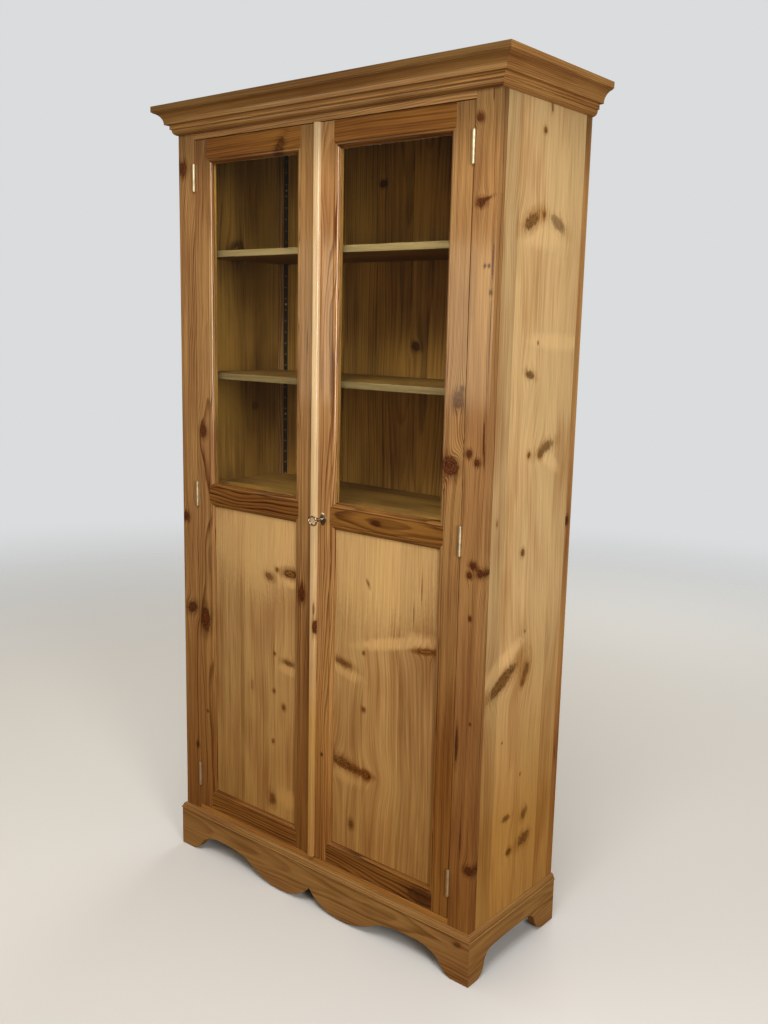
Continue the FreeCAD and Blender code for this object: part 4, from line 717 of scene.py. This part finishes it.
def pine(node, groups, colours, sizes):
    """Waxed sawn pine, which shows rings, fibres and knots under a coat that shines like satin.

    The grain runs with the board, and boards that were never waxed are dull.
    """
    look, way, _, pith = WOODEN[node]
    palette, wander, spacing, contrast, streaks, clouds, foot_shade = LOOKS[look]
    pale = palette in ("side", "panel", "shelf")
    knot_kind, stain, core, bite = PALE_KNOTS if pale else DARK_KNOTS
    draw = random.Random(node)
    low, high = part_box(node)
    material, tree = new_material(f"Waxed pine {node}")
    place = add(tree, "TexCoord").outputs["Object"]
    parts = add(tree, "SeparateXYZ", {0: place}).outputs
    across, through, along = WAYS[way]
    point = add(tree, "CombineXYZ", {"X": parts[across], "Y": parts[through], "Z": parts[along]})

    # Each board of a jointed piece comes out of another part of the log
    offset = [draw.uniform(2, 40) for _ in range(3)]
    number, passed = count_boards(tree, node, parts[across])
    middle = (low + high) / 2
    middle = [middle["XYZ".index(each)] for each in (across, through, along)]
    pith_place = (middle[0] + pith[0], middle[1] + pith[1], middle[2])
    if number:
        leap = add(tree, "VectorMath", {0: LEAP, "Scale": number}, operation="SCALE")
        offset = add(tree, "VectorMath", {0: leap, 1: offset}, operation="ADD")
        sideways = add(tree, "TexWhiteNoise", {"W": number}, noise_dimensions="1D").outputs["Color"]
        sideways = add(tree, "VectorMath", {0: sideways, 1: (0.5, 0.5, 0.5)}, operation="SUBTRACT")
        sideways = add(tree, "VectorMath", {0: sideways, 1: PITH_SPREAD}, operation="MULTIPLY")
        pith_place = add(tree, "VectorMath", {0: sideways, 1: pith_place}, operation="ADD")
    tone = shade_boards(tree, node, number, passed, parts["Z"])
    marks = mark_knots(tree, node, point, groups["knot"], core, bite)
    if foot_shade:
        # Painted shadow of the cornice: the boards darken close below it
        cornice_shadow = add(
            tree, "MapRange", interpolation_type="SMOOTHSTEP",
            inputs={
                "Value": parts["Z"], "From Min": CORNICE_SHADOW[0], "From Max": CORNICE_SHADOW[1],
                "To Min": 1.0, "To Max": CORNICE_SHADOW_TONES[0] if pale else CORNICE_SHADOW_TONES[1],
            },
        )
        tone = add(tree, "Math", {0: cornice_shadow, 1: tone}, operation="MULTIPLY")

    arris = add(tree, "Attribute", attribute_name=ARRIS_MARK).outputs["Fac"]
    lean = (math.radians(draw.uniform(-1.3, 1.3)), math.radians(draw.uniform(-0.7, 0.7)), 0)
    early, late = ((*getattr(colours, palette + each), 1) for each in ("_early", "_late"))
    # The inner faces of the sides take the dull colours of the boards inside, darkened more by painted
    # shade, and the broad faces of the shelves take the same darker colours as painted shade, so that
    # only their front edges keep the shelves' own colours
    dull = None
    if look == "side":
        dull = add(tree, "Math", {0: parts["X"]}, operation="ABSOLUTE")
        dull = add(tree, "Math", {0: dull, 1: SIDE_MIDDLE}, operation="LESS_THAN")
        darker = add(tree, "Math", {0: dull, 1: INSIDE_SHADE - 1, 2: 1.0}, operation="MULTIPLY_ADD")
        tone = add(tree, "Math", {0: darker, 1: tone}, operation="MULTIPLY")
    elif look == "shelf":
        dull = add(tree, "Math", {0: parts["Y"], 1: low.y + SHELF_EDGE}, operation="GREATER_THAN")
    if dull:
        early, late = (
            add(
                tree, "Mix", data_type="RGBA",
                inputs={"Factor": dull, "A": fresh, "B": (*getattr(colours, "inside" + each), 1)},
            ).outputs["Result"]
            for fresh, each in ((early, "_early"), (late, "_late"))
        )
    grain = add(
        tree, "Group", node_tree=groups["grain"],
        inputs={
            "Point": point, "Offset": offset, **marks, "Pith": pith_place, "Lean": lean,
            "Wander": wander, "Spacing": sizes.ring_spacing * spacing, "Contrast": contrast,
            "Streak": streaks, "Cloud": clouds, "Tone": tone, "Stain": stain, "Arris": arris,
            "Early": early, "Late": late,
            "Knot heart": (*getattr(colours, knot_kind + "_heart"), 1),
            "Knot rim": (*getattr(colours, knot_kind + "_rim"), 1),
        },
    )
    # The plane left ridges of up to 0.4 mm, which the wax has softened
    bump = add(tree, "Bump", {"Strength": 0.35, "Distance": 0.0004, "Height": grain.outputs["Height"]})
    # Painted shade: the wood darkens towards the floor, where less light falls
    worn = add(
        tree, "MapRange", interpolation_type="SMOOTHSTEP",
        inputs={"Value": parts["Z"], "From Min": FOOT_SHADE_HEIGHTS[0], "From Max": FOOT_SHADE_HEIGHTS[1], "To Max": foot_shade},
    )
    wood = add(
        tree, "Mix", data_type="RGBA", blend_type="MULTIPLY",
        inputs={"Factor": worn, "A": grain.outputs["Color"], "B": (*colours.foot_shade_colour, 1)},
    ).outputs["Result"]
    rough = grain.outputs["Roughness"]
    if not WAX[look]:
        rough = add(tree, "Math", {0: rough, 1: BARE}, operation="ADD")
    surface = add(
        tree, "BsdfPrincipled",
        {
            "Base Color": wood, "Roughness": rough, "Normal": bump, "Coat Weight": WAX[look],
            "Coat Roughness": 0.12, "Specular IOR Level": 0.1,
        },
    )
    add(tree, "OutputMaterial", {"Surface": surface})
    return material


def make_glass(pane):
    """Drawn window glass: clear, faintly green, and wavy enough to bend what it mirrors.

    Lamps and daylight pass straight through it, and lose what its two faces mirror away.
    """
    material, tree = new_material("Window glass")
    place = add(tree, "TexCoord").outputs["Object"]
    wave = add(tree, "TexNoise", {"Vector": place, "Scale": DRAWN_WAVES, "Detail": 1.0})
    bump = add(tree, "Bump", {"Strength": 0.05, "Distance": 0.002, "Height": wave})
    glass = add(
        tree, "BsdfPrincipled",
        {
            "Base Color": (*pane, 1), "Transmission Weight": 1.0, "IOR": 1.5, "Roughness": 0.0,
            "Normal": bump,
        },
    )
    open_way = add(tree, "BsdfTransparent", {"Color": (*from_hex(PASSED_LIGHT), 1)})
    lamps = add(tree, "LightPath").outputs["Is Shadow Ray"]
    add(tree, "OutputMaterial", {"Surface": add(tree, "MixShader", {0: lamps, 1: glass, 2: open_way})})
    return material


def make_metal(name, tint, roughness, scratch):
    """Rolled steel, worn and lightly marked, so that its gloss is uneven and dull in patches."""
    material, tree = new_material(name)
    place = add(tree, "TexCoord").outputs["Object"]
    marks = add(tree, "TexNoise", {"Vector": place, "Scale": STEEL_MARKS, "Detail": 4.0, "Roughness": 0.65})
    stain = add(tree, "TexNoise", {"Vector": place, "Scale": STEEL_STAINS, "Detail": 3.0})
    rough = add(
        tree, "MapRange",
        {
            "Value": marks, "From Min": 0.3, "From Max": 0.7,
            "To Min": roughness, "To Max": roughness + scratch,
        },
    )
    patch = 0.7  # brightness of a dull patch
    dull = tuple(each * patch for each in tint)
    tone = add(tree, "MapRange", {"Value": stain, "From Min": 0.45, "From Max": 0.75})
    shade = add(
        tree, "Mix", {"Factor": tone, "A": (*tint, 1), "B": (*dull, 1)}, data_type="RGBA"
    ).outputs["Result"]
    bump = add(tree, "Bump", {"Strength": 0.15, "Distance": 0.0001, "Height": marks})
    surface = add(
        tree, "BsdfPrincipled", {"Base Color": shade, "Metallic": 1.0, "Roughness": rough, "Normal": bump}
    )
    add(tree, "OutputMaterial", {"Surface": surface})
    return material


def make_paint(name, tint):
    """Black paint stoved on steel: even and half dull, and browner where dust lies on it."""
    material, tree = new_material(name)
    place = add(tree, "TexCoord").outputs["Object"]
    dust = add(tree, "TexNoise", {"Vector": place, "Scale": DUST, "Detail": 4.0})
    tone = add(tree, "MapRange", {"Value": dust, "From Min": 0.4, "From Max": 0.8, "To Max": 0.3})
    shade = add(
        tree, "Mix", {"Factor": tone, "A": (*tint, 1), "B": (*from_hex(DUST_COLOUR), 1)}, data_type="RGBA"
    ).outputs["Result"]
    rough = add(tree, "MapRange", {"Value": dust, "To Min": 0.35, "To Max": 0.6})
    surface = add(tree, "BsdfPrincipled", {"Base Color": shade, "Roughness": rough})
    add(tree, "OutputMaterial", {"Surface": surface})
    return material


def dress_wood(nodes):
    """Rounds and paints wooden pieces."""
    sizes = bpy.context.scene.cabinet_sizes
    colours = bpy.context.scene.cabinet_colours
    groups = {
        "knot": bpy.data.node_groups.get("Knot") or make_knot_group(),
        "grain": bpy.data.node_groups.get("Sawn pine") or make_grain_group(),
    }
    for node in nodes:
        piece = merged_copy(node, "pine_" + node)
        arris = WOODEN[node][2]
        round_edges(piece, getattr(sizes, arris), segments=2 if arris == "moulding_arris" else 3)
        settle(piece, node, pine(node, groups, colours, sizes))


def dress_metal(nodes, material, prefix):
    """Rounds and paints ironwork."""
    sizes = bpy.context.scene.cabinet_sizes
    for node in nodes:
        piece = merged_copy(node, prefix + node)
        round_edges(piece, sizes.metal_arris, segments=2)
        settle(piece, node, material)


class CABINET_OT_case(bpy.types.Operator):
    """Sides, posts, face frame and fixed boards of the case"""

    bl_idname = "cabinet.case"
    bl_label = "Case"

    def execute(self, context):
        dress_wood(
            [node for node in WOODEN if BODY_OF[node] == "case" and not node.startswith(MOULDED)]
        )
        return {"FINISHED"}


class CABINET_OT_trim(bpy.types.Operator):
    """Cornice, plinth, base moulding and corner blocks"""

    bl_idname = "cabinet.trim"
    bl_label = "Cornice and plinth"

    def execute(self, context):
        dress_wood([node for node in WOODEN if node.startswith(MOULDED)])
        return {"FINISHED"}


class CABINET_OT_shelves(bpy.types.Operator):
    """The two loose shelves"""

    bl_idname = "cabinet.shelves"
    bl_label = "Loose shelves"

    def execute(self, context):
        dress_wood(["upper_shelf", "middle_shelf"])
        return {"FINISHED"}


class CABINET_OT_doors(bpy.types.Operator):
    """Frames, panels and glazing beads of both doors, and the cover bead"""

    bl_idname = "cabinet.doors"
    bl_label = "Doors"

    def execute(self, context):
        dress_wood([node for node in WOODEN if BODY_OF[node] in ("left_door", "right_door")])
        return {"FINISHED"}


class CABINET_OT_glass(bpy.types.Operator):
    """Window glass of both doors"""

    bl_idname = "cabinet.glass"
    bl_label = "Glass"

    def execute(self, context):
        glass = make_glass(context.scene.cabinet_colours.pane)
        for node in ("left_door_glass", "right_door_glass"):
            frame["nodes"][node].data.materials.clear()
            frame["nodes"][node].data.materials.append(glass)
        return {"FINISHED"}


class CABINET_OT_hinges(bpy.types.Operator):
    """Butt hinges, their pins and all screws"""

    bl_idname = "cabinet.hinges"
    bl_label = "Hinges and screws"

    def execute(self, context):
        tint = tuple(context.scene.cabinet_colours.bright_steel)
        material = make_metal("Worn bright steel", tint, roughness=0.45, scratch=0.12)
        dress_metal(
            [
                "frame_hinge_leaves", "left_door_hinge_leaves", "right_door_hinge_leaves", "hinge_pins",
                "carcass_screws", "left_door_screws", "right_door_screws",
            ],
            material, "steel_",
        )
        return {"FINISHED"}


class CABINET_OT_strips(bpy.types.Operator):
    """Slotted shelf strips and their clips"""

    bl_idname = "cabinet.strips"
    bl_label = "Shelf strips"

    def execute(self, context):
        material = make_paint("Black stoved paint", tuple(context.scene.cabinet_colours.black_paint))
        dress_metal(["shelf_strips", "shelf_clips"], material, "painted_")
        return {"FINISHED"}


class CABINET_OT_lock(bpy.types.Operator):
    """Lock, strike plate, slide bolts, escutcheon and key"""

    bl_idname = "cabinet.lock"
    bl_label = "Lock and bolts"

    def execute(self, context):
        tint = tuple(context.scene.cabinet_colours.dark_steel)
        material = make_metal("Dark aged steel", tint, roughness=0.14, scratch=0.16)
        dress_metal(
            [
                "lock_case", "lock_bolt", "strike_plate", "top_slide_bolt", "bottom_slide_bolt",
                "slide_bolt_plates", "escutcheon", "key",
            ],
            material, "iron_",
        )
        return {"FINISHED"}


# The photograph's camera: place, and the angles of its look, in metres and degrees.
CAMERA_PLACE = Vector((1.6554, -1.9047, 1.4701))
CAMERA_YAW = -39.498
CAMERA_PITCH = -10.346
CAMERA_ROLL = -1.248
CAMERA_LENS = 35.85

# Soft lamps: name, place, what they look at, width and height in metres, power in watts, warmth,
# and what mirrors them.
LAMPS = [
    ("Window high in front", (1.0, -1.9, 3.3), (0.1, -0.1, 1.4), 1.5, 1.1, 58, "#FBFAFF", "everything"),
    ("Window on the right", (3.2, -1.75, 1.65), (0.4, 0.0, 1.35), 0.9, 1.6, 80, "#FFFCF8", "wood and steel"),
    (
        "Low window on the left", (-1.7, -2.4, 1.48), (0.05, -0.17, 1.46), 1.3, 0.8, 11, "#FFE6BA",
        "wood and steel",
    ),
    ("Left fill", (-3.4, -0.8, 2.5), (-0.2, 0.0, 1.5), 2.0, 2.0, 26, "#FFF8EE", "nothing"),
    ("Ceiling light", (0.3, -0.8, 4.2), (0.0, 0.0, 0.5), 3.5, 3.0, 30, "#FFF6E8", "nothing"),
    ("Rear fill", (-0.8, 3.6, 2.6), (0.0, 0.2, 1.0), 2.6, 2.2, 70, "#FFFDFA", "nothing"),
]

DAYLIGHT = "#FFF4E4"  # light from all round
AMBIENT, MIRRORED = 0.22, 0.04  # how strong it is, and how strong where wax and steel mirror it
BACKDROP = "#DADCDD"  # what the camera sees behind the cabinet
FLOOR_GLOW = "#7E5A33"  # the floor as the cabinet sees it
FLOOR_RADIUS = 5.6
FLOOR_FADE = (1.6, 5.5)  # from and to how far out the floor fades away, in metres


class CABINET_OT_stage(bpy.types.Operator):
    """Pale floor, soft lamps, world and camera"""

    bl_idname = "cabinet.stage"
    bl_label = "Stage"

    def execute(self, context):
        scene = context.scene
        scene.view_settings.view_transform = "Standard"
        self.make_floor(scene)
        self.make_world(scene)
        self.make_lamps()
        self.make_camera(scene)
        return {"FINISHED"}

    def make_floor(self, scene):
        """A round floor that fades into the pale background."""
        bpy.ops.object.select_all(action="DESELECT")
        bpy.ops.mesh.primitive_circle_add(
            vertices=96, radius=FLOOR_RADIUS, fill_type="NGON", location=(0, 0, -0.0005)
        )
        floor = bpy.context.object
        floor.name = "studio_floor"
        material, tree = new_material("Pale floor")
        place = add(tree, "TexCoord").outputs["Object"]
        distance = add(tree, "VectorMath", {0: place}, operation="LENGTH").outputs["Value"]
        fade = add(
            tree, "MapRange", interpolation_type="SMOOTHSTEP",
            inputs={"Value": distance, "From Min": FLOOR_FADE[0], "From Max": FLOOR_FADE[1]},
        )
        # Pale to the eye, but brown in the light that it throws back, so that the foot stays warm
        ray = add(tree, "LightPath").outputs["Is Camera Ray"]
        shade = add(
            tree, "Mix", data_type="RGBA",
            inputs={
                "Factor": ray, "A": (*from_hex(FLOOR_GLOW), 1), "B": (*scene.cabinet_colours.floor, 1),
            },
        ).outputs["Result"]
        matt = add(tree, "BsdfPrincipled", {"Base Color": shade, "Roughness": 0.85})
        clear = add(tree, "BsdfTransparent")
        add(tree, "OutputMaterial", {"Surface": add(tree, "MixShader", {0: fade, 1: matt, 2: clear})})
        floor.data.materials.append(material)

    def make_world(self, scene):
        """Soft light from all round, and a plain pale background for the camera and the glass."""
        world = bpy.data.worlds.new("Studio")
        scene.world = world
        world.use_nodes = True
        tree = world.node_tree
        tree.nodes.clear()
        # The backdrop is for eyes alone, straight or through the glass, and never for light inside
        ray = add(tree, "LightPath").outputs
        seen = add(
            tree, "Math", {0: ray["Is Camera Ray"], 1: ray["Is Transmission Ray"]}, operation="MAXIMUM"
        )
        bounced = add(tree, "Math", {0: ray["Diffuse Depth"], 1: ray["Glossy Depth"]}, operation="ADD")
        direct = add(tree, "Math", {0: bounced, 1: 0.5}, operation="LESS_THAN")
        seen = add(tree, "Math", {0: seen, 1: direct}, operation="MULTIPLY")
        ambient = add(tree, "Background", {"Color": (*from_hex(DAYLIGHT), 1), "Strength": AMBIENT})
        mirrored = add(tree, "Background", {"Color": (*from_hex(DAYLIGHT), 1), "Strength": MIRRORED})
        backdrop = add(tree, "Background", {"Color": (*from_hex(BACKDROP), 1), "Strength": 1.0})
        light = add(tree, "MixShader", {0: ray["Is Glossy Ray"], 1: ambient, 2: mirrored})
        add(tree, "OutputWorld", {"Surface": add(tree, "MixShader", {0: seen, 1: light, 2: backdrop})})

    def make_lamps(self):
        """Large soft lamps. The panes are spared the glare of the low ones."""
        unglazed = bpy.data.collections.new("Wood, steel and floor")
        for each in bpy.context.scene.objects:
            if each.type == "MESH" and "glass" not in each.name:
                unglazed.objects.link(each)
        for name, place, target, width, height, power, tint, mirror in LAMPS:
            light = bpy.data.lights.new(name, "AREA")
            light.shape = "RECTANGLE"
            light.size = width
            light.size_y = height
            light.energy = power
            light.color = from_hex(tint)
            lamp = bpy.data.objects.new(name, light)
            bpy.context.scene.collection.objects.link(lamp)
            lamp.visible_camera = False
            lamp.visible_transmission = False
            lamp.visible_glossy = mirror != "nothing"
            if mirror == "wood and steel":
                lamp.light_linking.receiver_collection = unglazed
            lamp.location = place
            lamp.rotation_mode = "QUATERNION"
            lamp.rotation_quaternion = (Vector(target) - Vector(place)).to_track_quat("-Z", "Y")

    def make_camera(self, scene):
        """The camera at the photograph's angle."""
        yaw, pitch, roll = (math.radians(each) for each in (CAMERA_YAW, CAMERA_PITCH, CAMERA_ROLL))
        ahead = Vector((math.sin(yaw) * math.cos(pitch), math.cos(yaw) * math.cos(pitch), math.sin(pitch)))
        level = Vector((math.cos(yaw), -math.sin(yaw), 0))
        down = ahead.cross(level)
        right = level * math.cos(roll) + down * math.sin(roll)
        up = level * math.sin(roll) - down * math.cos(roll)
        camera = bpy.data.objects.new("Camera", bpy.data.cameras.new("Camera"))
        scene.collection.objects.link(camera)
        camera.matrix_world = Matrix((right, up, -ahead)).transposed().to_4x4()
        camera.location = CAMERA_PLACE
        camera.data.lens = CAMERA_LENS
        camera.data.clip_start = 0.05
        scene.camera = camera


OPERATORS = (
    CABINET_OT_case, CABINET_OT_trim, CABINET_OT_shelves, CABINET_OT_doors, CABINET_OT_glass,
    CABINET_OT_hinges, CABINET_OT_strips, CABINET_OT_lock, CABINET_OT_stage,
)


class CABINET_PT_panel(bpy.types.Panel):
    """Sizes, colours and pieces of the cabinet"""

    bl_idname = "CABINET_PT_panel"
    bl_label = "Display cabinet"
    bl_space_type = "VIEW_3D"
    bl_region_type = "UI"
    bl_category = "Cabinet"

    def draw(self, context):
        for group in (context.scene.cabinet_sizes, context.scene.cabinet_colours):
            box = self.layout.box()
            for name in group.bl_rna.properties.keys():
                if name not in ("rna_type", "name"):
                    box.prop(group, name)
        for each in OPERATORS:
            self.layout.operator(each.bl_idname)


CLASSES = (CabinetSizes, CabinetColours, *OPERATORS, CABINET_PT_panel)


def register():
    """Registers the classes and the scene's settings."""
    for each in CLASSES:
        bpy.utils.register_class(each)
    bpy.types.Scene.cabinet_sizes = bpy.props.PointerProperty(type=CabinetSizes)
    bpy.types.Scene.cabinet_colours = bpy.props.PointerProperty(type=CabinetColours)


def unregister():
    """Takes the settings and classes away again."""
    del bpy.types.Scene.cabinet_colours
    del bpy.types.Scene.cabinet_sizes
    for each in reversed(CLASSES):
        bpy.utils.unregister_class(each)


def main():
    """Builds every piece in order."""
    register()
    for each in OPERATORS:
        section, name = each.bl_idname.split(".")
        getattr(getattr(bpy.ops, section), name)()


if __name__ == "__main__":
    main()
